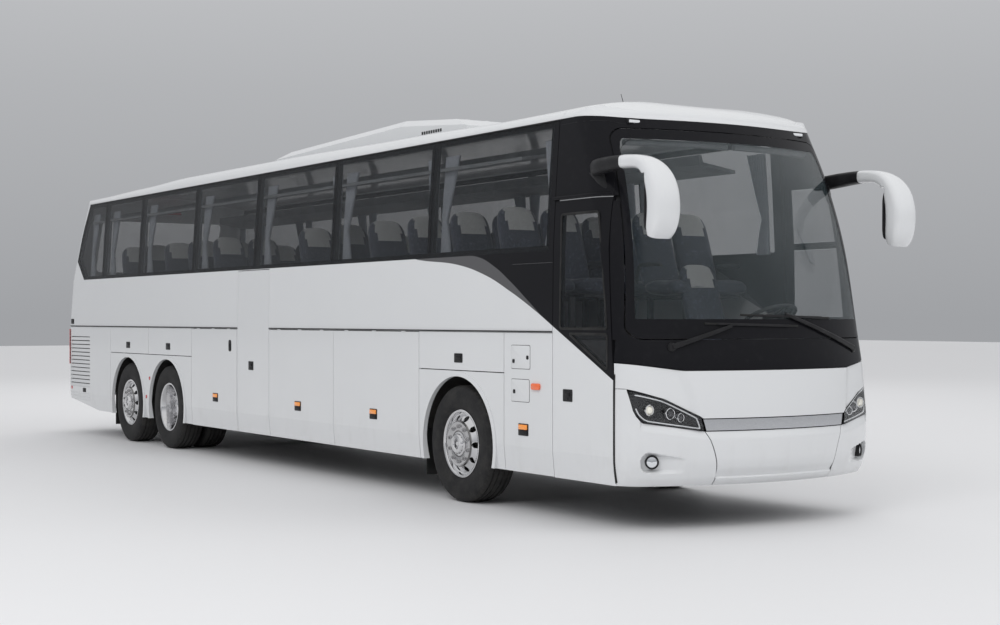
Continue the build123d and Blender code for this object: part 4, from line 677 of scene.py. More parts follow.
def woven_cloth(name, colour, second, pitch, fleck=None):
    """Woven seat cloth: warp and weft ridges, with a scattered fleck."""
    surface = Surface(name)
    x, y, z = surface.place_axes()
    warp = surface.maths("SINE", (y + x * 0.4) * (math.tau / pitch))
    weft = surface.maths("SINE", (z + x * 0.6) * (math.tau / pitch))
    weave = warp * weft
    fuzz = surface.noise(70.0, 4.0, 0.7)
    tone = surface.blend(surface.ramp(fuzz, 0.35, 0.7), colour, second)
    if fleck:
        spots = surface.ramp(surface.noise(38.0, 2.0, 0.4), 0.62, 0.66)
        tone = surface.blend(spots * 0.6, tone, fleck)
    return surface.finish(
        Base_Color=tone, Roughness=0.85, Sheen_Weight=0.35, Sheen_Roughness=0.4,
        Normal=surface.bump(weave * 0.2 + fuzz, 0.0004, 0.3),
    )


def polished_alloy(name):
    """Polished forged alloy: turned rings, brake dust, and painted shade in its two grooves and over the disc between
    them.
    """
    surface = Surface(name)
    radius = surface.node("ShaderNodeAttribute", {"attribute_name": "radius"}, output="Fac")
    rings = surface.node(
        "ShaderNodeTexNoise", {"noise_dimensions": "1D"}, {"W": radius, "Scale": 900.0, "Detail": 4.0},
    )
    dust = surface.ramp(surface.noise(22.0, 5.0, 0.65), 0.45, 0.8)
    tone = surface.blend(dust * 0.25, (0.70, 0.70, 0.71), (0.40, 0.37, 0.34))
    # painted shade: the two grooves much darker, the disc between them a little darker
    groove_shade = radius.within(0.194, 0.206, 0.003) + radius.within(0.107, 0.119, 0.003)
    disc_shade = radius.within(0.122, 0.190, 0.008)
    tone = surface.blend(groove_shade * 0.8 + disc_shade * 0.3, tone, (0.09, 0.085, 0.08))
    roughness = 0.07 + surface.ramp(rings, 0.3, 0.7) * 0.05 + dust * 0.08
    return surface.finish(
        Base_Color=tone, Roughness=roughness, Metallic=1.0, Normal=surface.bump(rings, 0.00002, 0.15)
    )


def tyre_rubber(name):
    """Tyre rubber: grey with dust on the tread, ribbed near the bead and cut by fine sipes."""
    surface = Surface(name)
    radius = surface.node("ShaderNodeAttribute", {"attribute_name": "radius"}, output="Fac")
    turn = surface.node("ShaderNodeAttribute", {"attribute_name": "turn"}, output="Fac")
    tread = surface.ramp(radius, 0.500, 0.510)
    dust = surface.ramp(surface.noise(9.0, 6.0, 0.7), 0.35, 0.8)
    tone = surface.blend(dust * 0.5 + tread * 0.25, (0.016, 0.016, 0.017), (0.075, 0.072, 0.068))
    ribs = surface.maths("SINE", radius * (math.tau / 0.006))
    band = radius.within(0.33, 0.36, 0.004) + radius.within(0.445, 0.462, 0.004)
    sipe = surface.ramp(surface.maths("SINE", turn * 180.0), 0.80, 0.97)
    height = ribs * band * 0.5 + sipe * tread * -1.0 + surface.noise(300.0, 2.0, 0.6) * 0.3
    return surface.finish(
        Base_Color=tone, Roughness=0.62 + dust * 0.2, Normal=surface.bump(height, 0.0012, 0.6), Specular_IOR_Level=0.2
    )


def lamp_glass(name):
    """Clear lamp cover."""
    surface = Surface(name)
    facing = surface.node("ShaderNodeLayerWeight", None, {"Blend": 0.3}, output="Facing")
    dust = surface.ramp(surface.noise(20.0, 4.0, 0.6), 0.4, 0.8)
    alpha = 0.05 + facing * 0.25 + dust * 0.02
    return surface.finish(
        Base_Color=(0.30, 0.31, 0.32), Roughness=0.03, Alpha=alpha, Coat_Weight=1.0, Coat_Roughness=0.01,
    )


def lens(name, colour, second, glow=0.0):
    """A coloured lamp lens with moulded ribs."""
    surface = Surface(name)
    x, y, z = surface.place_axes()
    ribs = surface.maths("SINE", z * (math.tau / 0.012))
    cells = surface.maths("SINE", (x + y) * (math.tau / 0.012))
    tone = surface.blend(surface.ramp(ribs * cells, -0.4, 0.8), colour, second)
    return surface.finish(
        Base_Color=tone, Roughness=0.12, Coat_Weight=1.0, Coat_Roughness=0.03,
        Normal=surface.bump(ribs + cells, 0.0006, 0.5), Emission_Color=colour, Emission_Strength=glow,
    )


def brushed_silver(name):
    """The bright strip between the head lamps, brushed lengthwise."""
    surface = Surface(name)
    brush = surface.noise(420.0, 4.0, 0.6, (1.0, 0.03, 1.0))
    streaks = surface.ramp(brush, 0.3, 0.7)
    tone = surface.blend(streaks, (0.52, 0.53, 0.55), (0.62, 0.63, 0.65))
    return surface.finish(
        Base_Color=tone, Roughness=0.28 + streaks * 0.1, Metallic=0.9, Normal=surface.bump(brush, 0.0001, 0.4)
    )


# Each finish: the function that makes it, and its values
FINISHES = {
    "coach_paint": (coach_paint,),
    "livery_paint": (livery_paint,),
    "black_gloss": (black_gloss,),
    "polished_alloy": (polished_alloy,),
    "tyre_rubber": (tyre_rubber,),
    "lamp_glass": (lamp_glass,),
    "brushed_silver": (brushed_silver,),
    # tint, clearness, dust, coat
    "side_glass": (tinted_glass, (0.010, 0.013, 0.016), 0.90, (0.06, 0.07, 0.07)),
    "screen_glass": (tinted_glass, (0.06, 0.08, 0.088), 0.90, (0.14, 0.16, 0.17), 1.0),
    # two tones, grain in waves a metre, its depth, roughness, mottle, metal, shine
    "black_rubber": (grained, (0.014, 0.014, 0.014), (0.03, 0.03, 0.03), 260.0, 0.0003, (0.5, 0.7), 6.0, 0.0, 0.2),
    "black_plastic": (grained, (0.012, 0.012, 0.013), (0.022, 0.022, 0.024), 320.0, 0.0003, (0.35, 0.5), 6.0, 0.0, 0.2),
    "lamp_black": (grained, (0.008, 0.008, 0.009), (0.02, 0.02, 0.022), 200.0, 0.0002, (0.2, 0.35), 30.0, 0.0, 0.3),
    # painted shade: the grey of the plate behind the louvre's slats
    "louvre_grey": (grained, (0.10, 0.10, 0.105), (0.15, 0.15, 0.155), 90.0, 0.0002, (0.5, 0.65), 6.0, 0.0, 0.3),
    "chassis_paint": (grained, (0.016, 0.016, 0.017), (0.06, 0.055, 0.05), 90.0, 0.0008, (0.5, 0.8), 4.0),
    "cast_iron": (grained, (0.10, 0.10, 0.10), (0.16, 0.15, 0.14), 160.0, 0.001, (0.5, 0.7), 6.0, 0.6),
    "floor_covering": (grained, (0.05, 0.05, 0.055), (0.09, 0.09, 0.095), 150.0, 0.0006, (0.6, 0.8), 12.0),
    "cabin_plastic": (grained, (0.035, 0.037, 0.04), (0.055, 0.057, 0.06), 400.0, 0.0004, (0.5, 0.65), 9.0),
    "cabin_lining": (grained, (0.20, 0.21, 0.22), (0.26, 0.27, 0.28), 300.0, 0.0004, (0.7, 0.85), 9.0),
    "mirror_silver": (grained, (0.8, 0.82, 0.84), (0.75, 0.77, 0.8), 20.0, 0.00001, (0.02, 0.04), 5.0, 1.0),
    "chrome": (grained, (0.85, 0.86, 0.87), (0.7, 0.7, 0.72), 60.0, 0.00002, (0.06, 0.12), 20.0, 1.0),
    "dark_chrome": (grained, (0.10, 0.10, 0.105), (0.14, 0.14, 0.15), 60.0, 0.00005, (0.15, 0.25), 20.0, 0.8),
    "blank_plate": (grained, (0.62, 0.62, 0.6), (0.68, 0.68, 0.66), 90.0, 0.0001, (0.35, 0.5), 8.0),
    # two tones, pitch of the weave, fleck
    "seat_cloth": (woven_cloth, (0.050, 0.058, 0.080), (0.080, 0.090, 0.115), 0.003, (0.15, 0.17, 0.24)),
    "cover_cloth": (woven_cloth, (0.50, 0.51, 0.50), (0.60, 0.61, 0.60), 0.002),
    "curtain_cloth": (woven_cloth, (0.46, 0.49, 0.54), (0.56, 0.59, 0.63), 0.002),
    # two tones, glow
    "amber_lens": (lens, (0.85, 0.24, 0.02), (1.0, 0.42, 0.06), 0.15),
    "orange_lens": (lens, (0.72, 0.10, 0.02), (0.9, 0.2, 0.05), 0.15),
    "red_lens": (lens, (0.42, 0.01, 0.012), (0.62, 0.03, 0.03), 0.05),
    "lit_lamp": (lens, (0.80, 0.78, 0.70), (0.92, 0.90, 0.82), 0.35),
    "daylight_strip": (lens, (0.72, 0.74, 0.76), (0.82, 0.83, 0.85), 0.08),
}
MATERIALS = {}


def stuff(name):
    """A material by name, made the first time it is asked for."""
    if name not in MATERIALS:
        maker, *values = FINISHES[name]
        MATERIALS[name] = maker(name, *values)
    return MATERIALS[name]


# Finishes of the solids that stay as they are
NODE_FINISH = {
    "coach_paint": ("roof", "roof_air_unit", "rear_wall", "rear_bumper", "engine_lid", "mid_door"),
    "livery_paint": ("side_wall_right", "side_wall_left", "front_door", "lower_panels"),
    "side_glass": ("windows", "front_door_glass"),
    "black_rubber": ("mudflaps",),
    "chassis_paint": ("underframe", "front_axle", "drive_axle", "tag_axle", "knuckle_right", "knuckle_left",
                      "luggage_hold", "wheel_housings", "door_arm"),
    "cast_iron": ("engine_block",),
    "floor_covering": ("deck_floor", "front_platform"),
    "cabin_plastic": ("dashboard",),
    "cabin_lining": ("luggage_racks",),
    "red_lens": ("tail_lamps",),
}


# Front of the body

SCREEN = {"low": 1.467, "high": 3.130, "low_half": 1.228, "high_half": 1.090, "corner": 0.11}


def screen_half(z, margin=0.0):
    """Half the width of the windscreen at a height, with its rounded corners, made smaller by a margin."""
    low, high, corner = SCREEN["low"] + margin, SCREEN["high"] - margin, SCREEN["corner"]
    z = min(max(z, low), high)
    share = (z - SCREEN["low"]) / (SCREEN["high"] - SCREEN["low"])
    half = SCREEN["low_half"] + share * (SCREEN["high_half"] - SCREEN["low_half"]) - margin
    near = min(z - low, high - z)
    if near < corner:
        half -= corner - math.sqrt(max(corner**2 - (corner - near) ** 2, 0.0))
    return half


def screen_heights(margin):
    """Heights of the windscreen's rows, close together at its corners."""
    low, high, corner = SCREEN["low"] + margin, SCREEN["high"] - margin, SCREEN["corner"]
    bend = [corner * (1 - math.cos(math.pi / 2 * i / 6)) for i in range(7)]
    straight = heights(low + corner, high - corner, 0.06)[1:-1]
    return [low + b for b in bend] + straight + [high - b for b in reversed(bend)]


class COACH_OT_windscreen(bpy.types.Operator):
    """The curved windscreen with the black band printed round its edge"""

    bl_idname = "coach.windscreen"
    bl_label = "Windscreen"

    def execute(self, context):
        zs = screen_heights(GAP)

        def edge(side, margin):
            """The glass's edge on a side, as a function of height."""
            return lambda z: round_at_y(side * screen_half(z, margin), z)

        right, left = edge(-1, GAP), edge(1, GAP)
        glass = skin("windscreen_glass", zs, right, left, 56, 0.0, 0.006)
        place(shade(glass, 30), stuff("screen_glass"), "root", ["windscreen"])
        # the black print round the glass, with its width at the sides, the foot and the head
        beside, foot, head = 0.055, 0.155, 0.085
        prints = [
            skin("screen_band_side", zs, right, edge(-1, beside), 3, -0.0012, 0.002),
            skin("screen_band_side", zs, edge(1, beside), left, 3, -0.0012, 0.002),
        ]
        low, high = SCREEN["low"], SCREEN["high"]
        for bottom, top in ((low + GAP, low + foot), (high - head, high - GAP)):
            prints.append(skin("screen_band_row", heights(bottom, top, 0.012), right, left, 48, -0.001, 0.002))
        fit("windscreen_band", prints, 30, "black_gloss")
        return {"FINISHED"}


def belt_line(y):
    """Height of the lower edge of the black front below the windscreen, at a distance from the middle."""
    return BELT_Z + max(abs(y) - 0.85, 0.0) / 0.425 * 0.060


def raise_point(point, rise):
    """Moves a point of the front upwards along its leaning skin."""
    point.x += level_at(point.z + rise)[1] - level_at(point.z)[1]
    point.z += rise


# Driver's window panes: rear, bottom, front at the bottom, top, front at the top
DRIVER_PANES = ((1.590, 1.640, 2.190, 2.230, 2.120), (1.590, 2.290, 2.105, 2.760, 2.040))
# The door's front edge leans back above a kink, over a height, to its top
DOOR_KINK_Z = 1.16
DOOR_LEAN = 1.415
DOOR_TOP_FRONT = 2.18


class COACH_OT_front_surround(bpy.types.Operator):
    """The black surround of the windscreen: corner pillars, header and lower panel"""

    bl_idname = "coach.front_surround"
    bl_label = "Front surround"

    def execute(self, context):
        low, high = SCREEN["low"] - GAP, SCREEN["high"] + GAP

        def door_edge(z):
            """Where the surround begins on the door's side."""
            if z < DOOR_KINK_Z:
                x = DOOR_FRONT + SEAM / 2
            elif z < DOOR_KINK_Z + DOOR_LEAN:
                x = DOOR_FRONT + (z - DOOR_KINK_Z) / DOOR_LEAN * (DOOR_TOP_FRONT - DOOR_FRONT) + SEAM / 2
            else:
                return -round_at_x(DOOR_REAR + SEAM / 2, z)
            return -round_at_x(x + SEAM / 2, z)

        def inner(z):
            """The edge beside the glass, on the left."""
            return round_at_y(screen_half(z, -GAP), z)

        def rear(z):
            """The rear edge on the left."""
            return round_at_x(DOOR_REAR - SEAM / 2, z)

        def corner(z):
            """The seam at the corner, on the left."""
            return round_at_x(CORNER_SEAM + SEAM / 2, z)

        def pane_front(pane, gap):
            """The leaning front edge of one of the driver's panes, as a function of height."""
            _, bottom, front_low, top, front_high = pane
            return lambda z: round_at_x(front_low + (front_high - front_low) * (z - bottom) / (top - bottom) + gap, z)

        all_rows = screen_heights(-GAP)
        door_rows = [2.583] + [z for z in all_rows if z > 2.62]
        parts = [
            skin("surround_pillar", [z for z in all_rows if z < 2.57], door_edge, lambda z: -inner(z), 14),
            skin("surround_pillar_up", door_rows, door_edge, lambda z: -inner(z), 26),
        ]
        # the left side has the driver's two panes let into it
        edges = sorted({low, high, *[pane[1] for pane in DRIVER_PANES], *[pane[3] for pane in DRIVER_PANES]})
        for bottom, top in zip(edges, edges[1:]):
            pane = next((p for p in DRIVER_PANES if p[1] <= bottom and top <= p[3]), None)
            rows = [bottom, *[z for z in all_rows if bottom + 0.01 < z < top - 0.01], top]
            if pane:
                parts.append(skin("surround_left", rows, inner, pane_front(pane, GAP), 14))
                parts.append(skin("surround_left", rows, lambda z: round_at_x(pane[0] - GAP, z), rear, 4))
            else:
                parts.append(skin("surround_left", rows, inner, rear, 26))
        foot = heights(BELT_Z + GAP, low, 0.03)
        parts += [
            skin("surround_foot_left", foot, lambda z: 0.0, corner, 30),
            skin("surround_foot_right", foot, lambda z: -corner(z), lambda z: 0.0, 30),
            skin(
                "surround_header", heights(high, WINDOW_Z, 0.03),
                lambda z: -round_at_x(DOOR_REAR + SEAM / 2, z), rear, 90,
            ),
        ]
        surround = joined("front_surround", parts)
        for vertex in surround.data.vertices:
            if vertex.co.z < low:
                share = (low - vertex.co.z) / (low - BELT_Z)
                raise_point(vertex.co, (belt_line(vertex.co.y) - BELT_Z) * min(share, 1.0))
        recalculate(surround)
        place(shade(surround, 30), stuff("black_gloss"), "root", ["front_mask"])
        # painted shade: a dark strip behind the upper corners of the windscreen's joint, so that the joint shows dark
        beside = 0.03
        strip = skin("strip", door_rows, lambda z: -inner(z) - beside, lambda z: -inner(z) + beside, 4, 0.030, 0.003)
        fit_pair("screen_joint_backs", strip, 35, "black_plastic")
        glass = []
        for pane in DRIVER_PANES:
            rows = heights(pane[1] + GAP, pane[3] - GAP, 0.06)
            glass.append(skin("pane", rows, pane_front(pane, 0.0), lambda z: round_at_x(pane[0], z), 10, 0.0, 0.005))
        fit("driver_panes", glass, 30, "side_glass", replaces=["driver_windows"])
        return {"FINISHED"}


# Outline of the right head lamp, as distance from the middle and height
HEAD_LAMP = ((1.237, 1.076), (1.013, 1.013), (0.754, 0.877), (0.730, 0.771), (1.166, 0.837), (1.216, 0.926))
STRIP_LOW, STRIP_HIGH = 0.768, 0.862
STRIP_LOW_HALF, STRIP_HIGH_HALF = 0.712, 0.736
CORNER_TOP = 1.088


def corners_of(points):
    """Each point of a closed outline, between the one before and the one after."""
    points = [Vector(point) for point in points]
    return zip(points[-1:] + points[:-1], points, points[1:] + points[:1])


def smooth_outline(points, rounding, steps=4):
    """A closed outline with its corners rounded."""
    out = []
    for before, here, after in corners_of(points):
        into, away = here - before, after - here
        r = min(rounding, into.length * 0.4, away.length * 0.4)
        start, end = here - into.normalized() * r, here + away.normalized() * r
        for k in range(steps + 1):
            t = k / steps
            out.append(start * (1 - t) ** 2 + here * 2 * t * (1 - t) + end * t * t)
    return out


def grown(points, amount):
    """An outline pushed outwards by an amount."""
    area = sum(points[i - 1][0] * points[i][1] - points[i][0] * points[i - 1][1] for i in range(len(points)))
    sign = 1 if area > 0 else -1
    out = []
    for before, here, after in corners_of(points):
        a, b = (here - before).normalized(), (after - here).normalized()
        na, nb = Vector((a.y, -a.x)) * sign, Vector((b.y, -b.x)) * sign
        middle = (na + nb).normalized()
        out.append(here + middle * amount / max(middle.dot(na), 0.3))
    return out


def front_prism(name, outline, side):
    """A cutter through the front from an outline of distance from the middle and height."""
    points = [Vector((AXLE_X + 1.9, side * y, z)) for y, z in outline]
    return plate(name, points, (1.2, 0, 0))


def bumper_split(z):
    """Distance from the middle of the joint between the bumper's middle and its corners, at a height."""
    share = (z - SKIRT_Z) / (STRIP_LOW - SKIRT_Z)
    return 0.602 + (STRIP_LOW_HALF - 0.602) * share**2.2


def share_of(value, whole):
    """A value as a share of a whole, from 0 to 1."""
    return min(max(value / whole, 0.0), 1.0)


# What is cut away for the right lamp below the panel and above the bumper, as distance from the middle and height
BELOW_LAMP = (
    (1.45, CORNER_TOP + 2 * GAP), (1.246, CORNER_TOP + GAP), (1.0145, 1.0175), (0.7525, 0.8815), (0.70, 0.845),
    (0.70, 0.70), (1.45, 0.70),
)
ABOVE_LAMP = (
    (1.241, 1.30), (1.241, 1.078), (1.220, 0.926), (1.207, 0.885), (1.188, 0.852), (1.160, 0.832), (0.72, 0.7655),
    (0.55, 0.7655), (0.55, 1.30),
)


# Crease of the upper panel: distance from the middle at the strip, how much further out it is at the belt, depth,
# width of its slope, and how far out it fades away
CREASE_OUT, CREASE_LEAN, CREASE_DEPTH, CREASE_SLOPE, CREASE_REACH = 0.755, 0.095, 0.016, 0.03, 0.40
# Scoop round the fog lamp: height of its sill, middle and radius of its round end, depth
SCOOP_SILL, SCOOP_END, SCOOP_RADIUS, SCOOP_DEPTH = 0.448, (1.09, 0.535), 0.088, 0.060
# Bevel under the strip and the lamps
BEVEL_DEPTH, BEVEL_HEIGHT = 0.020, 0.066


class COACH_OT_front_panels(bpy.types.Operator):
    """The white front panel, the bumper's middle and its two corners with the lamps' openings and scoops"""

    bl_idname = "coach.front_panels"
    bl_label = "Front panels"

    def execute(self, context):
        def seam_left(z):
            return round_at_x(CORNER_SEAM + SEAM / 2, z)

        def seam_right(z):
            return -seam_left(z)

        # upper panel, with a crease from the kink of the belt to the end of the strip
        rows = heights(STRIP_HIGH + GAP, BELT_Z - GAP, 0.018)
        panel = skin("front_panel_skin", rows, seam_right, seam_left, 120, 0.0, 0)
        for vertex in panel.data.vertices:
            y, z = abs(vertex.co.y), vertex.co.z
            crease = CREASE_OUT + (z - STRIP_HIGH) / (BELT_Z - STRIP_HIGH) * CREASE_LEAN
            if y > crease:
                fading = max(0.0, 1 - (y - crease) / CREASE_REACH)
                vertex.co.x -= CREASE_DEPTH * share_of(y - crease, CREASE_SLOPE) * fading
            raise_point(vertex.co, (belt_line(y) - BELT_Z) * ((z - STRIP_HIGH) / (BELT_Z - STRIP_HIGH)) ** 3)
        thicken(panel, 0.016)
        for side in (-1, 1):
            cut(panel, front_prism("below_lamp", BELOW_LAMP, side))
        # corners of the bumper, up to the lamps
        corner = skin(
            "bumper_corner", heights(SKIRT_Z + 0.002, CORNER_TOP, 0.010), seam_right,
            lambda z: round_at_y(-bumper_split(min(z, STRIP_LOW)) - GAP, z), 84, 0.0, 0,
        )
        for vertex in corner.data.vertices:
            y, z = -vertex.co.y, vertex.co.z
            # scoop round the fog lamp, running out towards the middle
            roof = 0.560 + (y - 0.86) * 0.19
            inside = share_of(roof - z, 0.010) * share_of(z - SCOOP_SILL, 0.030)
            if y > SCOOP_END[0]:
                inside *= share_of(SCOOP_RADIUS - math.dist((y, z), SCOOP_END), 0.014)
            vertex.co.x -= SCOOP_DEPTH * inside * share_of(y - 0.85, 0.24)
            # bevel under the lamp
            edge = 0.771 + (y - 0.730) * 0.151
            if y < 1.18:
                vertex.co.x -= BEVEL_DEPTH * share_of(z - edge + BEVEL_HEIGHT, BEVEL_HEIGHT)
            if z < 0.42:
                vertex.co.x -= 0.03 * ((0.42 - z) / 0.075) ** 2
        thicken(corner, 0.006)
        cut(corner, front_prism("above_lamp", ABOVE_LAMP, -1))
        corners = both_sides("bumper_corners", corner)
        # middle of the bumper: a bevel under the strip and a lip along the bottom
        middle = skin(
            "bumper_middle", heights(SKIRT_Z + 0.002, STRIP_LOW - GAP, 0.014),
            lambda z: round_at_y(-bumper_split(z) + GAP, z), lambda z: round_at_y(bumper_split(z) - GAP, z),
            64, 0.0, 0,
        )
        for vertex in middle.data.vertices:
            z = vertex.co.z
            vertex.co.x -= BEVEL_DEPTH * max((z - 0.702) / BEVEL_HEIGHT, 0.0)
            if z > 0.415:
                vertex.co.x -= 0.014 * share_of(0.475 - z, 0.05)
            if z < 0.40:
                vertex.co.x -= 0.035 * ((0.40 - z) / 0.055) ** 2
        thicken(middle, 0.016)
        place(shade(panel, 24), stuff("coach_paint"), "root", ["front_panel"])
        fit("front_bumper_skin", [middle, corners], 24, "coach_paint", replaces=["front_bumper"])
        # painted shade: a dark sheet behind the front, seen through its joints
        joint_shade_sheet = skin(
            "front_backing", heights(SKIRT_Z + 0.02, BELT_Z - 0.02, 0.06),
            lambda z: seam_right(z) + 0.02, lambda z: seam_left(z) - 0.02, 60, 0.085, 0.004,
        )
        place(shade(joint_shade_sheet, 40), stuff("black_plastic"), "root")
        # bright strip
        def strip_half(z):
            wider = (STRIP_HIGH_HALF - STRIP_LOW_HALF) * (z - STRIP_LOW) / (STRIP_HIGH - STRIP_LOW)
            return STRIP_LOW_HALF + wider - 0.006

        strip = skin(
            "front_bright_strip", heights(STRIP_LOW + GAP, STRIP_HIGH - GAP, 0.015),
            lambda z: round_at_y(-strip_half(z), z), lambda z: round_at_y(strip_half(z), z), 60, 0.010, 0.006,
        )
        place(shade(strip, 30), stuff("brushed_silver"), "root", ["bright_strip"])
        return {"FINISHED"}


# Round lamps in a head lamp: distance from the middle, height, radius, lit
LAMP_EYES = ((1.104, 0.930, 0.038, True), (0.958, 0.902, 0.040, False), (0.882, 0.872, 0.030, False))
# Their rims: out from the lamp's radius, and along it
LAMP_RIM = ((0.0, 0.0), (0.006, 0.003), (0.008, 0.03), (-0.006, 0.03), (-0.004, 0.004))
# The bright line along the lamp's upper, inner and lower edges, as distance from the middle and height
LAMP_LINE = (
    (1.195, 1.045), (1.100, 1.020), (1.010, 0.992), (0.880, 0.925), (0.782, 0.872), (0.770, 0.855), (0.752, 0.800),
    (0.765, 0.791), (0.900, 0.811), (1.060, 0.836), (1.140, 0.853), (1.180, 0.895), (1.196, 0.940),
)
# Fog lamp: radius and distance along its axis
FOG_RING = ((0.043, 0.014), (0.050, 0.016), (0.054, 0.0), (0.052, -0.04), (0.040, -0.04))
FOG_GLASS = ((0.0005, 0.012), (0.022, 0.0105), (0.041, 0.006), (0.041, -0.01), (0.0005, -0.01))


class COACH_OT_head_lamps(bpy.types.Operator):
    """Head lamps: a dark bowl with three round lamps and a bright line, under a clear cover"""

    bl_idname = "coach.head_lamps"
    bl_label = "Head lamps"

    def execute(self, context):
        outline = smooth_outline(HEAD_LAMP, 0.02)
        middle_y, middle_z = 1.02, 0.92

        def shrunk(share, depth):
            """The outline drawn in towards the lamp's middle, a depth behind the skin."""
            return [
                at_depth(middle_y + (y - middle_y) * share, middle_z + (z - middle_z) * share, depth)
                for y, z in outline
            ]

        def at_depth(y, z, depth):
            """A point a depth behind the skin, given as distance from the middle and height."""
            point = on_nose(-y, z, 0.0)
            point.x -= depth
            return point

        rings = [shrunk(1 - k / 9, 0.0) for k in range(9)]
        cover = grid("cover", [ring + [ring[0]] for ring in rings])
        thicken(recalculate(cover), 0.003)
        fit_pair("head_lamp_covers", cover, 30, "lamp_glass", ["front_lamps"])
        # bowl
        rings = [
            [at_depth(y, z, 0.002) for y, z in grown(outline, 0.003)],
            [at_depth(y, z, 0.055) for y, z in grown(outline, -0.004)],
            *[shrunk(share, 0.075) for share in (0.85, 0.6, 0.35, 0.1)],
        ]
        bowl = grid("bowl", [ring + [ring[0]] for ring in rings])
        thicken(recalculate(bowl), 0.003, 1.0)
        fit_pair("head_lamp_bowls", bowl, 40, "lamp_black")
        # round lamps
        lamps, lit, rims = [], [], []
        for y, z, radius, bright in LAMP_EYES:
            front, rear = at_depth(y, z, 0.030), at_depth(y, z, 0.080)
            profile = [(radius + out, along) for out, along in LAMP_RIM]
            rim = turned("lamp_rim", profile, 40)
            rim.data.transform(Matrix.Translation(front) @ Matrix.Rotation(math.radians(90), 4, "Z"))
            rims.append(rim)
            ball = drum("lamp_ball", rear, front + Vector((0.004, 0, 0)), radius * 0.9, 40, radius * 0.62)
            (lit if bright else lamps).append(ball)
        fit_pair("head_lamp_rims", recalculate(joined("rims", rims)), 30, "chrome")
        lamps = round_edges(joined("eyes", lamps), 0.006, 3)
        fit_pair("head_lamp_eyes", lamps, 30, "dark_chrome")
        lit = round_edges(joined("lit", lit), 0.006, 3)
        fit_pair("head_lamp_lit", lit, 30, "lit_lamp")
        rings = [
            oval(at_depth(y, z, 0.022), ALONG, (0, 0.35, 1), 0.008, 0.0055, 8) for y, z in smooth_path(LAMP_LINE, 5)
        ]
        fit_pair("head_lamp_lines", loft("line", rings), 50, "daylight_strip")
        # fog lamps
        base = at_depth(1.085, 0.535, 0.036)
        normal = Vector((0.83, -0.55, 0.0)).normalized()
        aim = Matrix.Translation(base) @ normal.to_track_quat("Y", "Z").to_matrix().to_4x4()
        ring, glass = turned("ring", FOG_RING, 40), turned("glass", FOG_GLASS, 40)
        ring.data.transform(aim)
        glass.data.transform(aim)
        fit_pair("fog_lamp_rings", recalculate(ring), 40, "black_plastic")
        fit_pair("fog_lamp_glasses", recalculate(glass), 40, "mirror_silver")
        return {"FINISHED"}


# Wheels

# From the bead to the middle of the tread: radius, and distance from the tyre's middle
TYRE_PROFILE = (
    (0.289, -0.112), (0.300, -0.118), (0.310, -0.128), (0.345, -0.141), (0.395, -0.149), (0.430, -0.1485),
    (0.462, -0.145), (0.486, -0.139), (0.503, -0.131), (0.512, -0.121), (0.5155, -0.108), (0.5165, -0.095),
    (0.5165, -0.084), (0.506, -0.081), (0.506, -0.071), (0.5172, -0.068), (0.5178, -0.036), (0.507, -0.033),
    (0.507, -0.022), (0.518, -0.019), (0.518, 0.019),
)


def mark_turn(obj):
    """Stores each point's radius and angle about the Y axis, for the materials of wheels."""
    radius = obj.data.attributes.new("radius", "FLOAT", "POINT")
    turn = obj.data.attributes.new("turn", "FLOAT", "POINT")
    for i, vertex in enumerate(obj.data.vertices):
        radius.data[i].value = math.hypot(vertex.co.x, vertex.co.z)
        turn.data[i].value = math.atan2(vertex.co.x, vertex.co.z)
    return obj


TYRE_STEPS = 180
GROOVE_DEPTH = 0.009


def make_tyre():
    """One tyre on the Y axis, its ribs and shoulder blocks in the mesh."""
    profile = [*TYRE_PROFILE, *[(radius, -y) for radius, y in reversed(TYRE_PROFILE[:-1])]]
    tyre = turned("tyre", profile, TYRE_STEPS)
    for vertex in tyre.data.vertices:
        radius = math.hypot(vertex.co.x, vertex.co.z)
        # every third step of the shoulder is a groove between two blocks
        if radius > 0.509 and abs(vertex.co.y) > 0.098:
            if round(math.atan2(vertex.co.x, vertex.co.z) / math.tau * TYRE_STEPS) % 3 == 0:
                factor = (radius - GROOVE_DEPTH) / radius
                vertex.co.x *= factor
                vertex.co.z *= factor
    return shade(mark_turn(tyre), 30)


def holes(radius, hole, count, low, high):
    """A ring of cutters through a wheel's disc."""
    cutters = []
    for i in range(count):
        turn = math.tau * (i + 0.5) / count
        x, z = radius * math.sin(turn), radius * math.cos(turn)
        cutters.append(drum("hole", (x, low, z), (x, high, z), hole, 20))
    return joined("holes", cutters)


def nuts(circle, base, reach, count=10):
    """A ring of wheel nuts with their collars."""
    made = []
    for i in range(count):
        turn = math.tau * i / count
        x, z = circle * math.sin(turn), circle * math.cos(turn)
        made.append(drum("collar", (x, base, z), (x, base + reach * 0.25, z), 0.021, 16))
        made.append(drum("nut", (x, base, z), (x, base + reach * 0.8, z), 0.0165, 6))
        made.append(drum("stud", (x, base, z), (x, base + reach, z), 0.0095, 12))
    return round_edges(joined("nuts", made), 0.0012, 1, 40)


# The bed of every rim, from its inner edge to its outer one: radius, and distance from the wheel's middle
RIM_BED = (
    (0.270, -0.132), (0.302, -0.132), (0.302, -0.118), (0.284, -0.112), (0.262, -0.06), (0.262, 0.06),
    (0.284, 0.112), (0.302, 0.118), (0.302, 0.130), (0.296, 0.134),
)
CONVEX_HUB = (
    (0.0006, 0.150), (0.040, 0.150), (0.044, 0.176), (0.052, 0.184), (0.078, 0.182), (0.086, 0.174), (0.090, 0.160),
    (0.114, 0.152), (0.114, 0.10), (0.0006, 0.10),
)
DISHED_HUB = ((0.0006, 0.030), (0.055, 0.030), (0.078, 0.022), (0.086, 0.006), (0.090, -0.03), (0.110, -0.04))
NUT_CIRCLE = 0.155


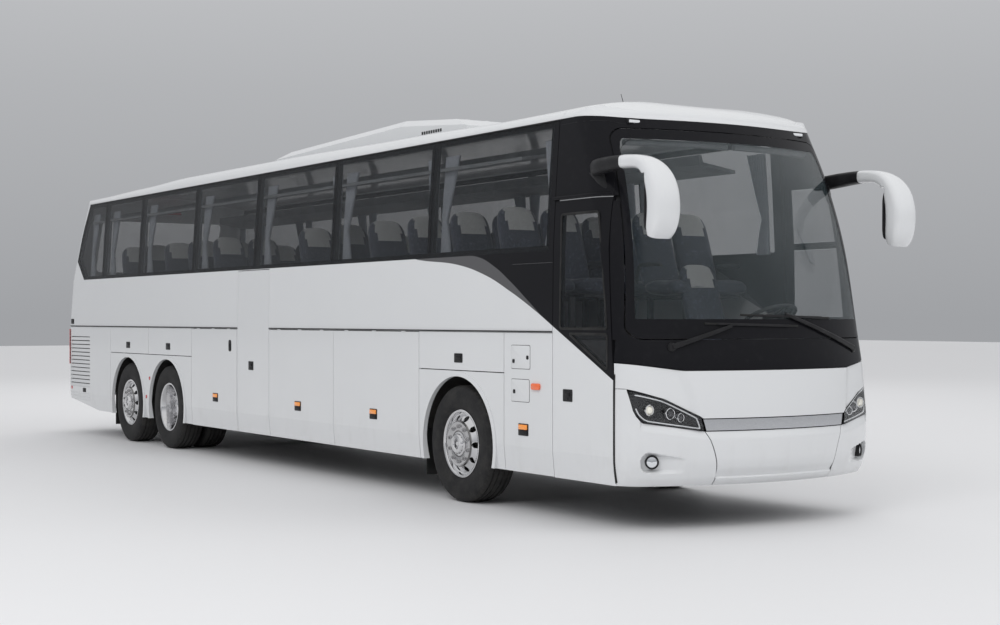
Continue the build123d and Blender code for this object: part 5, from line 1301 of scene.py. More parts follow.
def make_convex_rim():
    """The rim of a single wheel, dished outwards, with its ring of nuts and its hub."""
    profile = [
        *RIM_BED, (0.282, 0.130), (0.274, 0.116), (0.268, 0.100), (0.260, 0.096), (0.252, 0.100), (0.208, 0.138),
        (0.203, 0.146), (0.200, 0.156), (0.194, 0.158), (0.188, 0.154), (0.112, 0.154), (0.112, 0.140),
        (0.190, 0.140), (0.240, 0.085), (0.250, 0.060), (0.250, -0.060), (0.262, -0.100)
    ]
    rim = turned("rim", profile, 96)
    cut(rim, holes(0.230, 0.027, 10, 0.0, 0.2))
    round_edges(rim, 0.0015, 2, 40)
    hub = turned("hub", CONVEX_HUB, 64)
    boss = turned("boss", [(0.0006, 0.172), (0.016, 0.172), (0.022, 0.166), (0.024, 0.150), (0.0006, 0.148)], 40)
    rim = joined("rim", [rim, recalculate(hub), recalculate(boss), nuts(NUT_CIRCLE, 0.152, 0.030)])
    return shade(mark_turn(rim), 30)


def make_dished_rim():
    """The outer rim of twin wheels, a deep bowl with its nuts at the bottom."""
    # the disc lies this far inside the wheel's middle
    deep = -0.09
    profile = [
        *RIM_BED, (0.280, 0.128), (0.272, 0.110), (0.254, 0.055), (0.248, -0.02), (0.240, deep + 0.030),
        (0.226, deep + 0.008), (0.205, deep), (0.118, deep), (0.118, deep - 0.014), (0.210, deep - 0.014),
        (0.236, deep - 0.004), (0.252, -0.055)
    ]
    rim = turned("rim", profile, 96)
    cut(rim, holes(0.219, 0.024, 10, -0.2, 0.02))
    round_edges(rim, 0.0012, 2, 40)
    hub = turned("hub", [*DISHED_HUB, (0.116, deep), (0.0006, deep - 0.02)], 64)
    rim = joined("rim", [rim, recalculate(hub), nuts(NUT_CIRCLE, deep, 0.048)])
    return shade(mark_turn(rim), 30)


class COACH_OT_wheels(bpy.types.Operator):
    """Tyres and rims: one tyre and two rims are modelled, and copied to every wheel"""

    bl_idname = "coach.wheels"
    bl_label = "Wheels"

    def execute(self, context):
        tyre, convex, dished = make_tyre(), make_convex_rim(), make_dished_rim()
        for axle, x, twin in (("front", AXLE_X, False), ("drive", DRIVE_X, True), ("tag", TAG_X, False)):
            for side_name, side in (("right", -1), ("left", 1)):
                body = f"wheel_{axle}_{side_name}"
                middles = (TRACK, TRACK - TWIN_SPACING) if twin else (TRACK,)
                tyres, rims = [], []
                for k, middle in enumerate(middles):
                    out = Matrix.Rotation(math.pi, 4, "Z") if side < 0 else Matrix.Identity(4)
                    at = Matrix.Translation((x, side * middle, AXLE_Z)) @ out
                    tyres.append(copied(tyre, f"tyre_{k}", at))
                    if k == 0:
                        rims.append(copied(dished if twin else convex, f"rim_{k}", at))
                    else:
                        rims.append(copied(convex, f"rim_{k}", at @ Matrix.Rotation(math.pi, 4, "Z")))
                for kind, parts, what, finish, slot in (
                    ("tyre", tyres, "rubber", "tyre_rubber", "tyre_rubber"),
                    ("rim", rims, "alloy", "polished_alloy", "alloy"),
                ):
                    node = f"{kind}_{axle}_{side_name}"
                    place(joined(f"{node}_{what}", parts), stuff(finish), body, [node])
        remove(tyre, convex, dished)
        return {"FINISHED"}


# Mirrors

# Places along a mirror from its root to its foot: ahead of the front axle, out, height, half width, half thickness
MIRROR_PLACES = (
    (1.955, 1.175, 2.785, 0.050, 0.056), (2.060, 1.245, 2.800, 0.055, 0.062), (2.200, 1.262, 2.812, 0.058, 0.060),
    (2.380, 1.252, 2.818, 0.060, 0.055), (2.520, 1.245, 2.815, 0.066, 0.052), (2.660, 1.242, 2.795, 0.080, 0.054),
    (2.766, 1.240, 2.740, 0.100, 0.064), (2.834, 1.237, 2.660, 0.114, 0.078), (2.870, 1.234, 2.565, 0.119, 0.088),
    (2.882, 1.233, 2.460, 0.120, 0.092), (2.874, 1.234, 2.362, 0.119, 0.088), (2.854, 1.237, 2.284, 0.112, 0.076),
    (2.836, 1.240, 2.230, 0.094, 0.052),
)


# The right mirror's glass: distance to the left, and height
MIRROR_GLASS = (
    (-1.328, 2.285), (-1.142, 2.285), (-1.130, 2.345), (-1.132, 2.60), (-1.152, 2.672), (-1.308, 2.672),
    (-1.328, 2.60), (-1.333, 2.345),
)


class COACH_OT_mirrors(bpy.types.Operator):
    """Mirrors on curved arms: black root, white shell, glass facing back"""

    bl_idname = "coach.mirrors"
    bl_label = "Mirrors"

    def execute(self, context):
        rows = smooth_path(MIRROR_PLACES, 3)
        # the row where the black root ends and the white shell begins
        split = 10
        shell_rings = []
        for i, (x, y, z, wide, thick) in enumerate(rows):
            before, after = rows[max(i - 1, 0)], rows[min(i + 1, len(rows) - 1)]
            along = Vector((after[0] - before[0], 0, after[2] - before[2])).normalized()
            up = Vector((-along.z, 0, along.x))
            power = 2.3 + min(i / 14, 1.0) * 0.9
            shell_rings.append(oval((AXLE_X + x, -y, z), ACROSS, up, wide, thick, 24, power))
        root = loft("mirror_root", shell_rings[: split + 1])
        shell = loft("mirror_shell", shell_rings[split:])
        # the back of the head is cut flat for the glass
        back_x = AXLE_X + 2.795
        cut(shell, block("mirror_back", (back_x - 0.4, -1.6, 2.0), (back_x, -0.9, 2.705)))
        round_edges(shell, 0.006, 2, 50)
        outline = smooth_outline(MIRROR_GLASS, 0.03)
        border = plate(
            "mirror_frame", [Vector((back_x + 0.004, y, z)) for y, z in grown(outline, 0.010)], (-0.016, 0, 0),
        )
        round_edges(border, 0.003, 2)
        glass = plate("mirror_glass", [Vector((back_x - 0.010, y, z)) for y, z in outline], (-0.005, 0, 0))
        bracket = loft(
            "mirror_bracket",
            [
                oval((AXLE_X + x, y, z), (1, 0.3, 0), (0.3, -1, 0), wide, thick, 12)
                for x, y, z, wide, thick in (
                    (2.02, -1.215, 2.77, 0.070, 0.020), (2.07, -1.205, 2.69, 0.045, 0.018),
                    (2.115, -1.185, 2.61, 0.025, 0.014),
                )
            ],
        )
        fit_pair("mirror_roots", [root, bracket], 40, "black_plastic")
        fit_pair("mirror_shells", shell, 40, "coach_paint", ["mirrors"])
        fit_pair("mirror_frames", border, 40, "black_plastic")
        fit_pair("mirror_glasses", glass, 40, "mirror_silver")
        return {"FINISHED"}


# Wipers

# Right and left wiper: pivot, end of the arm, two ends of the blade, as distance to the left and height
WIPERS = (
    ((-0.926, 1.409), (-0.435, 1.569), (-0.651, 1.587), (0.236, 1.567)),
    ((0.990, 1.380), (0.098, 1.662), (-0.331, 1.654), (0.660, 1.631)),
)


def nose_bar(name, start, end, across, thick, proud, steps=14):
    """A bar that follows the front's skin between two places, each size given as start and end."""
    rings = []
    for i in range(steps + 1):
        t = i / steps
        y, z = start[0] + (end[0] - start[0]) * t, start[1] + (end[1] - start[1]) * t
        along = Vector((0, end[0] - start[0], end[1] - start[1])).normalized()
        wide = Vector((0, -along.z, along.y))
        lift = proud[0] + (proud[1] - proud[0]) * t
        rings.append(
            oval(on_nose(y, z, lift), wide, ALONG, across[0] + (across[1] - across[0]) * t,
                 thick[0] + (thick[1] - thick[0]) * t, 12, 3.0)
        )
    return loft(name, rings)


class COACH_OT_wipers(bpy.types.Operator):
    """Two wipers: pivot caps, tapered arms, sprung bridges and rubber blades"""

    bl_idname = "coach.wipers"
    bl_label = "Wipers"

    def execute(self, context):
        arms, blades = [], []
        for pivot, elbow, start, end in WIPERS:
            for low, high, radius in ((-0.004, 0.016, 0.034), (0.014, 0.022, 0.024)):
                arms.append(round_edges(drum("cap", on_nose(*pivot, low), on_nose(*pivot, high), radius, 28), 0.004))
            arms.append(nose_bar("arm", pivot, elbow, (0.022, 0.013), (0.013, 0.009), (0.018, 0.024)))
            claws = [[a + (b - a) * share for a, b in zip(start, end)] for share in (0.12, 0.36, 0.5, 0.64, 0.88)]
            arms.append(nose_bar("bridge", claws[0], claws[-1], (0.010, 0.010), (0.005, 0.005), (0.015, 0.015)))
            for y, z in claws:
                arms.append(
                    round_edges(drum("claw", on_nose(y, z, 0.004), on_nose(y, z, 0.018), 0.009, 12), 0.002, 1)
                )
            blades.append(nose_bar("blade", start, end, (0.009, 0.009), (0.006, 0.006), (0.006, 0.006), 24))
        fit("wiper_arms", arms, 40, "black_plastic", replaces=["wipers"])
        fit("wiper_blades", blades, 40, "black_rubber")
        return {"FINISHED"}


# Trim of the sides

def side_y(z):
    """Half the width of the solids' flat side at a height."""
    for low, high in zip(LEVELS, LEVELS[1:]):
        if z <= high[0]:
            return low[1] + (high[1] - low[1]) * (z - low[0]) / (high[0] - low[0])
    return LEVELS[-1][1]


def box_outline(x, z, width, height, radius):
    """A rounded rectangle round a place on the side."""
    rear, front, low, high = x - width / 2, x + width / 2, z - height / 2, z + height / 2
    return smooth_outline([(rear, low), (front, low), (front, high), (rear, high)], radius)


def on_side(name, outline, proud, depth):
    """A plate on the right side from an outline of distance ahead of the front axle and height."""
    points = [Vector((AXLE_X + x, -side_y(z) - proud, z)) for x, z in outline]
    return plate(name, points, (0, depth, 0))


def side_box(name, x, z, width, height, radius, proud, depth, edge=0.0015):
    """A rounded plate on the right side, its edges eased."""
    return round_edges(on_side(name, box_outline(x, z, width, height, radius), proud, depth), edge, 2)


# Places along the side, as distance ahead of the front axle
HANDLES = (0.032, -8.420, -6.978)
FRONT_MARKER = 1.074
FLAP_MARKERS = (("rear", -5.463), ("middle", -3.240), ("front", -1.556))
# Small flaps: place, height of the middle, width, height
SMALL_FLAPS = ((1.032, 1.306, 0.280, 0.193), (1.027, 1.028, 0.270, 0.184))
# The louvred opening: rear, front, low, high
LOUVRE = (-10.820, -9.980, 0.660, 1.373)
LOUVRE_SLATS = 13


def side_line(name, rear, front, z, height, proud=0.0035):
    """A thin strip along the right side."""
    rings = [
        oval((AXLE_X + x, -side_y(z) - proud / 2, z), ACROSS, UP, proud, height / 2, 8, 4.0)
        for x in heights(rear, front, 0.8)
    ]
    return loft(name, rings)


def side_marker(x):
    """The dark base and the amber lens of a marker on the right side."""
    base = side_box("marker_base", x, 0.705, 0.150, 0.100, 0.010, 0.004, 0.02)
    lens = side_box("marker_lens", x, 0.726, 0.124, 0.042, 0.008, 0.013, 0.014, 0.004)
    foot = side_box("marker_foot", x, 0.681, 0.124, 0.034, 0.008, 0.009, 0.014, 0.003)
    return joined("marker_base", [base, foot]), lens


class COACH_OT_side_trim(bpy.types.Operator):
    """Handles, side markers, service flaps, louvres and rubber lines of the sides"""

    bl_idname = "coach.side_trim"
    bl_label = "Side trim"

    def execute(self, context):
        dark, amber, orange, red, white = [], [], [], [], []
        for x in HANDLES:
            dark.append(side_box("handle_cup", x, 1.278, 0.140, 0.082, 0.010, 0.004, 0.02))
            dark.append(side_box("handle_lever", x, 1.286, 0.100, 0.030, 0.008, 0.010, 0.012, 0.003))
        dark.append(side_box("oval_cup", -5.038, 1.315, 0.075, 0.132, 0.036, 0.004, 0.02))
        dark.append(side_box("oval_lever", -5.038, 1.305, 0.034, 0.080, 0.014, 0.010, 0.012, 0.003))
        base, lens = side_marker(FRONT_MARKER)
        dark.append(base)
        amber.append(lens)
        for where, x in FLAP_MARKERS:
            base, lens = side_marker(x)
            left = [copied(part, "left", MIRROR) for part in (base, lens)]
            for side, (base, lens) in (("left", left), ("right", (base, lens))):
                body = f"luggage_flap_{where}_{side}"
                base.name, lens.name = f"marker_base_{where}_{side}", f"marker_lens_{where}_{side}"
                place(shade(base, 35), stuff("black_plastic"), body)
                place(shade(lens, 35), stuff("amber_lens"), body)
        for x, z, width, height in SMALL_FLAPS:
            dark.append(side_box("flap_gasket", x, z, width + 0.008, height + 0.008, 0.018, 0.0008, 0.01, 0.0003))
            white.append(side_box("flap_skin", x, z, width, height, 0.016, 0.0035, 0.01, 0.0015))
        for x, z in ((0.929, 1.271), (1.139, 1.304), (0.939, 1.018)):
            dark.append(side_box("flap_latch", x, z, 0.034, 0.034, 0.012, 0.007, 0.010))
        orange.append(side_box("turn_lens", 1.265, 1.068, 0.125, 0.055, 0.022, 0.018, 0.02, 0.006))
        for x, z in ((-10.745, 1.585), (-10.213, 0.607)):
            dark.append(side_box("vent", x, z, 0.125, 0.072, 0.008, 0.005, 0.02))
            dark.append(side_box("vent_slat", x, z, 0.095, 0.016, 0.004, 0.009, 0.010, 0.001))
        for x, z in ((-7.62, 0.86), (-7.74, 0.62), (-10.77, 0.635)):
            at = Vector((AXLE_X + x, -side_y(z), z))
            red.append(
                round_edges(drum("dot", at + Vector((0, 0.01, 0)), at - Vector((0, 0.007, 0)), 0.024, 24), 0.003)
            )
        # rubber lines under the roof and along the floor's edge; their black also stands for the shade in the gap under
        # the eave and in the groove at the floor's edge, painted shade
        dark.append(side_line("eave_rubber", -10.17, 1.545, 3.234, 0.010, 0.006))
        ends = ((-10.82, MID_DOOR[0] - 0.008), (MID_DOOR[1] + 0.008, DOOR_REAR - 0.008))
        right_only = [side_line("floor_line", rear, front, FLOOR_Z + 0.008, 0.011, 0.007) for rear, front in ends]
        left_line = side_line("floor_line", -10.82, DOOR_REAR - 0.008, FLOOR_Z + 0.008, 0.011, 0.007)
        left_line.data.transform(MIRROR)
        left_line.data.flip_normals()
        # louvres: leaning slats in front of a grey plate, painted shade of the dark opening behind them, and three ribs
        # under it
        rear, front, low, high = LOUVRE
        back = block(
            "louvre_back", (AXLE_X + rear, -HALF_WIDTH + 0.022, low), (AXLE_X + front, -HALF_WIDTH + 0.026, high),
        )
        fit_pair("louvre_backs", back, 35, "louvre_grey")
        slats = []
        pitch = (high - low) / LOUVRE_SLATS
        for k in range(LOUVRE_SLATS):
            z = low + k * pitch
            shape = ((0.024, 0.002), (-0.003, 0.002), (-0.004, 0.008), (0.010, pitch - 0.012), (0.024, pitch - 0.012))
            points = [Vector((AXLE_X + rear, -HALF_WIDTH + y, z + up)) for y, up in shape]
            slats.append(plate("slat", points, (front - rear, 0, 0)))
        for k in range(3):
            slats.append(side_box("rib", -10.40, 0.575 - k * 0.045, 0.80, 0.020, 0.008, 0.006, 0.012, 0.003))
        fit_pair("side_fittings", dark, 35, "black_plastic")
        fit("floor_lines", right_only + [left_line], 35, "black_rubber")
        fit_pair("side_amber_lenses", amber, 35, "amber_lens")
        fit_pair("side_turn_lenses", orange, 35, "orange_lens")
        fit_pair("side_red_lenses", red, 35, "red_lens")
        fit_pair("service_flaps", white, 35, "coach_paint")
        slats = shade(both_sides("louvre_slats", joined("slats", slats)), 35)
        place(slats, stuff("coach_paint"), "root", ["side_louvres"])
        return {"FINISHED"}


# Edge of the panel over the entrance, and the panes of the door: distance ahead of the front axle, height
PANEL_EDGE = (
    (1.52, 3.190), (1.88, 3.192), (2.00, 3.176), (2.065, 3.120), (2.10, 2.98), (2.145, 2.78), (2.175, 2.62),
)
DOOR_PANES = (
    ((1.605, 1.545), (2.239, 1.545), (2.095, 2.460), (1.605, 2.460)),
    ((1.730, 1.505), (2.240, 1.505), (2.240, 1.230)),
)


class COACH_OT_doors(bpy.types.Operator):
    """Handles of both doors, the bar over the entrance and the rubber round its panes"""

    bl_idname = "coach.doors"
    bl_label = "Doors"

    def execute(self, context):
        for body, x, z in (("front_door", 1.714, 1.014), ("mid_door", -4.447, 1.10)):
            cup = side_box("cup", x, z, 0.130, 0.098, 0.010, 0.004, 0.02)
            lever = side_box("lever", x + 0.006, z + 0.008, 0.052, 0.030, 0.008, 0.012, 0.012, 0.003)
            low = z - 0.028
            lock = drum("lock", (AXLE_X + x, -HALF_WIDTH, low), (AXLE_X + x, -HALF_WIDTH - 0.008, low), 0.010, 20)
            round_edges(lock, 0.002)
            fit(f"{body}_handle", [cup, lever, lock], 35, "black_plastic", body)

        def outer(x, z, inset=0.0):
            """The point of the right skin at a distance ahead of the front axle and a height."""
            return skin_point(-round_at_x(x, z), z, inset)

        bar_z, line_z = 2.594, 2.080
        bar = loft("entrance_bar", [
            oval(outer(x, bar_z, -0.008), ACROSS, UP, 0.012, 0.016, 12, 3.0) for x in heights(1.49, 2.185, 0.07)
        ])
        seam_rows = [oval(outer(x, line_z), ACROSS, UP, 0.0015, 0.0022, 6) for x in heights(0.90, 1.49, 0.1)]
        path = smooth_path(PANEL_EDGE, 5)
        panel_edge = [oval(outer(x, z), ALONG, UP, 0.0025, 0.0025, 6) for x, z in path]
        place(shade(loft("panel_edge", panel_edge), 35), stuff("black_plastic"), "root")

        def gap_behind(z):
            """Where the joint in front of the door lies."""
            return -round_at_x(min(2.345 - (z - DOOR_KINK_Z) * 0.1025, 2.345), z)

        shadow = skin(
            "door_shadow", heights(1.20, 2.60, 0.10),
            lambda z: gap_behind(z) - 0.03, lambda z: gap_behind(z) + 0.09, 4, 0.030, 0.003,
        )
        place(shade(shadow, 35), stuff("black_plastic"), "root")
        seal = skin("door_seal", heights(0.372, 1.20, 0.08), lambda z: -round_at_x(CORNER_SEAM + 0.012, z),
                    lambda z: -round_at_x(CORNER_SEAM + 0.0005, z), 3, -0.0015, 0.004)
        place(shade(seal, 35), stuff("black_rubber"), "root")
        place(shade(bar, 35), stuff("black_gloss"), "root")
        place(shade(loft("side_bright_line", seam_rows), 35), stuff("dark_chrome"), "root")
        # rubber along the front edge of the entrance door
        edge = [
            oval(outer(DOOR_FRONT - 0.001, z, -0.001), ALONG, ACROSS, 0.005, 0.004, 8, 3.0)
            for z in heights(SKIRT_Z + 0.02, 1.155, 0.08)
        ]
        place(shade(loft("front_door_edge", edge), 50), stuff("black_rubber"), "front_door")
        # rubber round the panes of the entrance door
        seals = []
        for outline in DOOR_PANES:
            rings = []
            for before, (x, z), after in corners_of(smooth_outline(outline, 0.03, 5)):
                along = Vector((after[0] - before[0], 0, after[1] - before[1])).normalized()
                wide = Vector((-along.z, 0, along.x))
                rings.append(oval(outer(x, z, -0.001), wide, ACROSS, 0.011, 0.005, 8, 3.0))
            seals.append(loft("seal", rings + [rings[0]], caps=False))
        fit("front_door_seals", seals, 50, "black_rubber", "front_door")
        return {"FINISHED"}


# Seats, curtains and the driver's place

SEAT_PITCH = 0.790
SEAT_ROWS = 13
SEAT_FIRST = 0.640
SEAT_PAIR = 0.900
DRIVER_SEAT = (1.180, 0.620)
PLATFORM_Z = 1.020


def swell(obj, cap):
    """Swells a pad as cloth under pressure, each point held within a cap of where it started."""
    home = [vertex.co.copy() for vertex in obj.data.vertices]
    modifier = obj.modifiers.new("cloth", "CLOTH")
    modifier.settings.quality = 4
    modifier.settings.use_pressure = True
    modifier.settings.uniform_pressure_force = 4.0
    modifier.settings.effector_weights.gravity = 0.0
    for step in range(1, 17):
        bpy.context.scene.frame_set(step)
    apply_modifiers(obj)
    bpy.context.scene.frame_set(1)
    for vertex, start in zip(obj.data.vertices, home):
        move = vertex.co - start
        if move.length > cap:
            vertex.co = start + move.normalized() * cap
    return obj


# Cushion from its rear to its front: ahead, height, share of the width, half thickness
CUSHION_ROWS = (
    (0.00, 0.385, 0.80, 0.022), (0.02, 0.392, 0.94, 0.045), (0.10, 0.392, 1.0, 0.058), (0.25, 0.385, 1.0, 0.060),
    (0.38, 0.392, 1.0, 0.062), (0.445, 0.388, 0.95, 0.052), (0.470, 0.375, 0.80, 0.026),
)
# Back from its foot to its head: height, share of the width, half thickness
BACK_ROWS = (
    (0.00, 0.86, 0.030), (0.03, 0.94, 0.046), (0.20, 0.99, 0.052), (0.45, 1.0, 0.050), (0.60, 0.97, 0.046),
    (0.68, 0.88, 0.042), (0.73, 0.70, 0.034), (0.755, 0.42, 0.018),
)
# Armrest: ahead, height, half thickness
ARM_ROWS = (
    (-0.06, 0.44, 0.018), (-0.02, 0.585, 0.020), (0.12, 0.60, 0.021), (0.27, 0.598, 0.020), (0.30, 0.585, 0.014),
)


def seat_pads(width, back_height):
    """The cushion and the back of one seat, facing ahead, at the origin of its floor."""
    cushion = loft("cushion", [
        oval((x, 0, z), ACROSS, UP, width / 2 * w, h, 32, 3.4) for x, z, w, h in smooth_path(CUSHION_ROWS, 3)
    ])
    lean = Vector((-0.30, 0, 1)).normalized()
    front = Vector((lean.z, 0, -lean.x))
    foot = Vector((0.015, 0, 0.40))
    rings = []
    for share, w, t in smooth_path(BACK_ROWS, 3):
        centre = foot + lean * share / 0.755 * back_height
        ring = oval(centre, ACROSS, front, width / 2 * w, t, 32, 3.2)
        for point in ring:
            across = point.y / (width / 2 * w)
            if (point - centre).dot(front) > 0:
                point += front * 0.022 * (across * across - 0.35) * min(share / 0.1, 1.0) * max(0.0, 1 - share / 0.72)
        rings.append(ring)
    back = loft("back", rings)
    swell(cushion, 0.010)
    swell(back, 0.008)
    # the pale cover over the head end, front and top
    back.data.materials.append(stuff("seat_cloth"))
    back.data.materials.append(stuff("cover_cloth"))
    for polygon in back.data.polygons:
        up = (polygon.center - foot).dot(lean)
        if up > back_height * 0.70 and abs(polygon.center.y) < width * 0.33:
            polygon.material_index = 1
    return shade(cushion, 60), shade(back, 60)


def seat_frame(width, gap):
    """Rails, legs and armrests under and beside a pair of seats."""
    made = []
    for y in (-width / 2 - gap / 2, width / 2 + gap / 2):
        made.append(soft_block("rail", (0.02, y - 0.14, 0.295), (0.42, y + 0.14, 0.325), 0.008))
    for x in (0.08, 0.34):
        made.append(soft_block("leg", (x, -0.03, 0.0), (x + 0.035, 0.03, 0.30), 0.006))
    made.append(soft_block("foot", (0.04, -0.04, 0.0), (0.42, 0.04, 0.022), 0.006))
    for y in (-width - gap / 2 - 0.012, width + gap / 2 + 0.012):
        made.append(loft("arm", [
            oval((x, y, z), ACROSS, UP, t, t * 0.85, 12, 2.6) for x, z, t in smooth_path(ARM_ROWS, 3)
        ]))
    return joined("frame", made)


class COACH_OT_seats(bpy.types.Operator):
    """Passenger seats in pairs and the driver's seat, in place of the plain solids"""

    bl_idname = "coach.seats"
    bl_label = "Seats"

    def execute(self, context):
        sizes = context.scene.coach_sizes
        width = SEAT_PAIR / 2 - 0.022
        cushion, back = seat_pads(width, sizes.seat_back)
        legs = seat_frame(width, 0.020)
        # the wall's thickness and the room beside the seats
        outer = side_y(SILL_Z + 0.4) - 0.045 - 0.020
        made = {"cushion": [], "back": [], "frame": []}
        for row in range(SEAT_ROWS):
            x = SEAT_FIRST - row * SEAT_PITCH
            for side in (-1, 1):
                # no seats over the stairwell of the middle door
                if side < 0 and MID_DOOR[0] - 0.46 < x < MID_DOOR[1]:
                    continue
                middle = side * (outer - SEAT_PAIR / 2)
                made["frame"].append(copied(legs, "frame", Matrix.Translation((AXLE_X + x, middle, FLOOR_Z))))
                for half in (-1, 1):
                    at = Matrix.Translation((AXLE_X + x, middle + half * SEAT_PAIR / 4, FLOOR_Z))
                    made["cushion"].append(copied(cushion, "cushion", at))
                    made["back"].append(copied(back, "back", at))
        at = Matrix.Translation((AXLE_X + DRIVER_SEAT[0], DRIVER_SEAT[1], PLATFORM_Z))
        driver_cushion, driver_back = copied(cushion, "driver_cushion", at), copied(back, "driver_back", at)
        remove(cushion, back, legs)
        cushions = place(
            joined("passenger_cushions", made["cushion"]), stuff("seat_cloth"), "root", ["seats"],
        )
        backs = place(joined("passenger_backs", made["back"]), None, "root")
        place(driver_cushion, stuff("seat_cloth"), "root")
        place(driver_back, None, "root")
        fit("seat_frames", made["frame"], 40, "cabin_plastic")
        x, y = AXLE_X + DRIVER_SEAT[0], DRIVER_SEAT[1]
        base = [
            soft_block("base", (x + 0.02, y - 0.17, PLATFORM_Z), (x + 0.42, y + 0.17, PLATFORM_Z + 0.05), 0.01),
            soft_block("pan", (x, y - 0.19, PLATFORM_Z + 0.26), (x + 0.44, y + 0.19, PLATFORM_Z + 0.33), 0.02, 3),
        ]
        bellows = []
        for k in range(11):
            centre, fold = (x + 0.22, y, PLATFORM_Z + 0.05 + k * 0.021), 0.014 * (k % 2)
            bellows.append(oval(centre, ALONG, ACROSS, 0.15 - fold, 0.14 - fold, 24, 4.0))
        base.append(loft("bellows", bellows))
        fit("driver_seat_base", base, 40, "cabin_plastic")
        return {"FINISHED"}


def gathered(width, flat, folds):
    """Depth of the waves that take up a flat width within a smaller one."""
    low, high = 0.0, 0.2
    steps = 40
    for _ in range(30):
        depth = (low + high) / 2
        points = [(width / folds * i / steps, depth * math.sin(math.tau * i / steps)) for i in range(steps + 1)]
        length = sum(math.dist(a, b) for a, b in zip(points, points[1:])) * folds
        low, high = (depth, high) if length < flat else (low, depth)
    return depth


class COACH_OT_curtains(bpy.types.Operator):
    """Curtains gathered beside every window, held in by a tie"""

    bl_idname = "coach.curtains"
    bl_label = "Curtains"

    def execute(self, context):
        sizes = context.scene.coach_sizes
        # heights of the rail, the tie and the foot, and the least width, at the tie
        top, tie, low, held = 3.10, 2.52, 2.20, 0.065
        folds, flat = 7, sizes.curtain_width
        rows = []
        for z in heights(low, top, 0.045):
            if z > tie:
                width = held + 0.165 * ((z - tie) / (top - tie)) ** 0.8
            else:
                width = held + 0.095 * ((tie - z) / (tie - low)) ** 0.8
            rows.append((z, width, gathered(width, flat, folds)))
        columns = folds * 10
        for side in (-1, 1):
            name = "right" if side < 0 else "left"
            for k, (front, rear) in enumerate(zip(PANE_ENDS, PANE_ENDS[1:] + (-10.30,))):
                for end, x, way in (("front", front - 0.055, -1), ("rear", rear + 0.055, 1)):
                    points = []
                    for z, width, depth in rows:
                        y, row = side_y(z) - 0.105, []
                        for i in range(columns + 1):
                            wave = depth * math.sin(math.tau * folds * i / columns)
                            row.append(Vector((AXLE_X + x + way * width * i / columns, side * (y + wave), z)))
                        points.append(row)
                    curtain = grid(f"curtain_{name}_{k}_{end}", points)
                    place(shade(curtain, 80), stuff("curtain_cloth"), "root")
        return {"FINISHED"}


# Steering wheel: its hub by radius and height, and its spokes by radius and half width
WHEEL_HUB = ((0.0006, 0.022), (0.045, 0.020), (0.062, 0.008), (0.062, -0.02), (0.040, -0.045), (0.0006, -0.05))
SPOKE = ((0.04, 0.030), (0.11, 0.020), (0.17, 0.015), (0.222, 0.018))
# Instrument housing: distance to the left, depth, half height
HOUSING = (
    (0.16, 0.10, 0.015), (0.20, 0.20, 0.05), (0.40, 0.24, 0.075), (0.62, 0.25, 0.085), (0.84, 0.24, 0.075),
    (1.04, 0.20, 0.05), (1.08, 0.10, 0.015),
)


class COACH_OT_cab(bpy.types.Operator):
    """Steering wheel, instruments and sun blinds of the driver's place"""

    bl_idname = "coach.cab"
    bl_label = "Driver's place"

    def execute(self, context):
        origin = Vector((AXLE_X + 1.98, 0.62, 1.64))
        normal = Vector((-0.42, 0, 0.9)).normalized()
        aim = Matrix.Translation(origin) @ normal.to_track_quat("Y", "X").to_matrix().to_4x4()
        profile = [
            (0.225 + 0.0165 * math.cos(math.tau * i / 12), 0.0165 * math.sin(math.tau * i / 12))
            for i in range(12)
        ]
        rim = turned("rim", profile, 72)
        hub = turned("hub", WHEEL_HUB, 40)
        parts = [rim, recalculate(hub)]
        for turn in (math.pi / 2, -math.pi / 2, math.pi):
            way = Vector((math.sin(turn), 0, math.cos(turn)))
            wide = Vector((way.z, 0, -way.x))
            parts.append(
                loft(
                    "spoke",
                    [
                        oval(way * r + Vector((0, -0.012 * (1 - r / 0.22), 0)), wide, ACROSS, w, 0.008, 12, 3.0)
                        for r, w in SPOKE
                    ],
                )
            )
        wheel = joined("steering_wheel_rim", parts)
        wheel.data.transform(aim)
        column = drum("column", origin - normal * 0.32, origin - normal * 0.03, 0.045, 32, 0.034)
        fit(
            "steering_wheel_and_column", [wheel, column], 40, "cabin_plastic",
            replaces=["steering_wheel"],
        )
        # instrument housing and the roll of the dash top
        housing = loft("instrument_housing", [
            oval((AXLE_X + 2.17, y, 1.435), ALONG, UP, w * 0.55, h, 20, 2.6) for y, w, h in smooth_path(HOUSING, 3)
        ])
        panel = soft_block("panel", (AXLE_X + 2.035, 0.40, 1.425), (AXLE_X + 2.06, 0.84, 1.500), 0.01, 3)
        screen = soft_block("screen", (AXLE_X + 2.06, 0.02, 1.43), (AXLE_X + 2.085, 0.20, 1.535), 0.008, 3)
        fit("instruments", [housing, panel, screen], 40, "cabin_plastic")
        # rolled blinds behind the top of the windscreen
        blinds = []
        for low_y, high_y in ((-0.98, -0.04), (0.04, 0.98)):
            rings = []
            for y in heights(low_y, high_y, 0.08):
                point = skin_point(round_at_y(y, 3.02), 3.02, 0.075)
                rings.append(oval(point, ALONG, UP, 0.026, 0.026, 14))
            blinds.append(loft("blind", rings))
        fit("sun_blinds", blinds, 40, "cabin_lining")
        return {"FINISHED"}


# Roof and rear

# Heights of the roof: its crest along the middle, the top of its edge, and its foot; where the dome ends
CREST_Z = 3.420
ROOF_EDGE_Z = 3.300
EAVE_Z = 3.244
DOME_REAR = 1.250
ROOF_SKIN_REAR = -9.970
# How much fuller the outer skin is than the solid roof, along the body
ROOF_RISE = ((-10.0, 0.004), (-8.2, 0.030), (-6.8, 0.060), (-4.0, 0.055), (-1.0, 0.026), (0.5, 0.006), (2.2, 0.010))


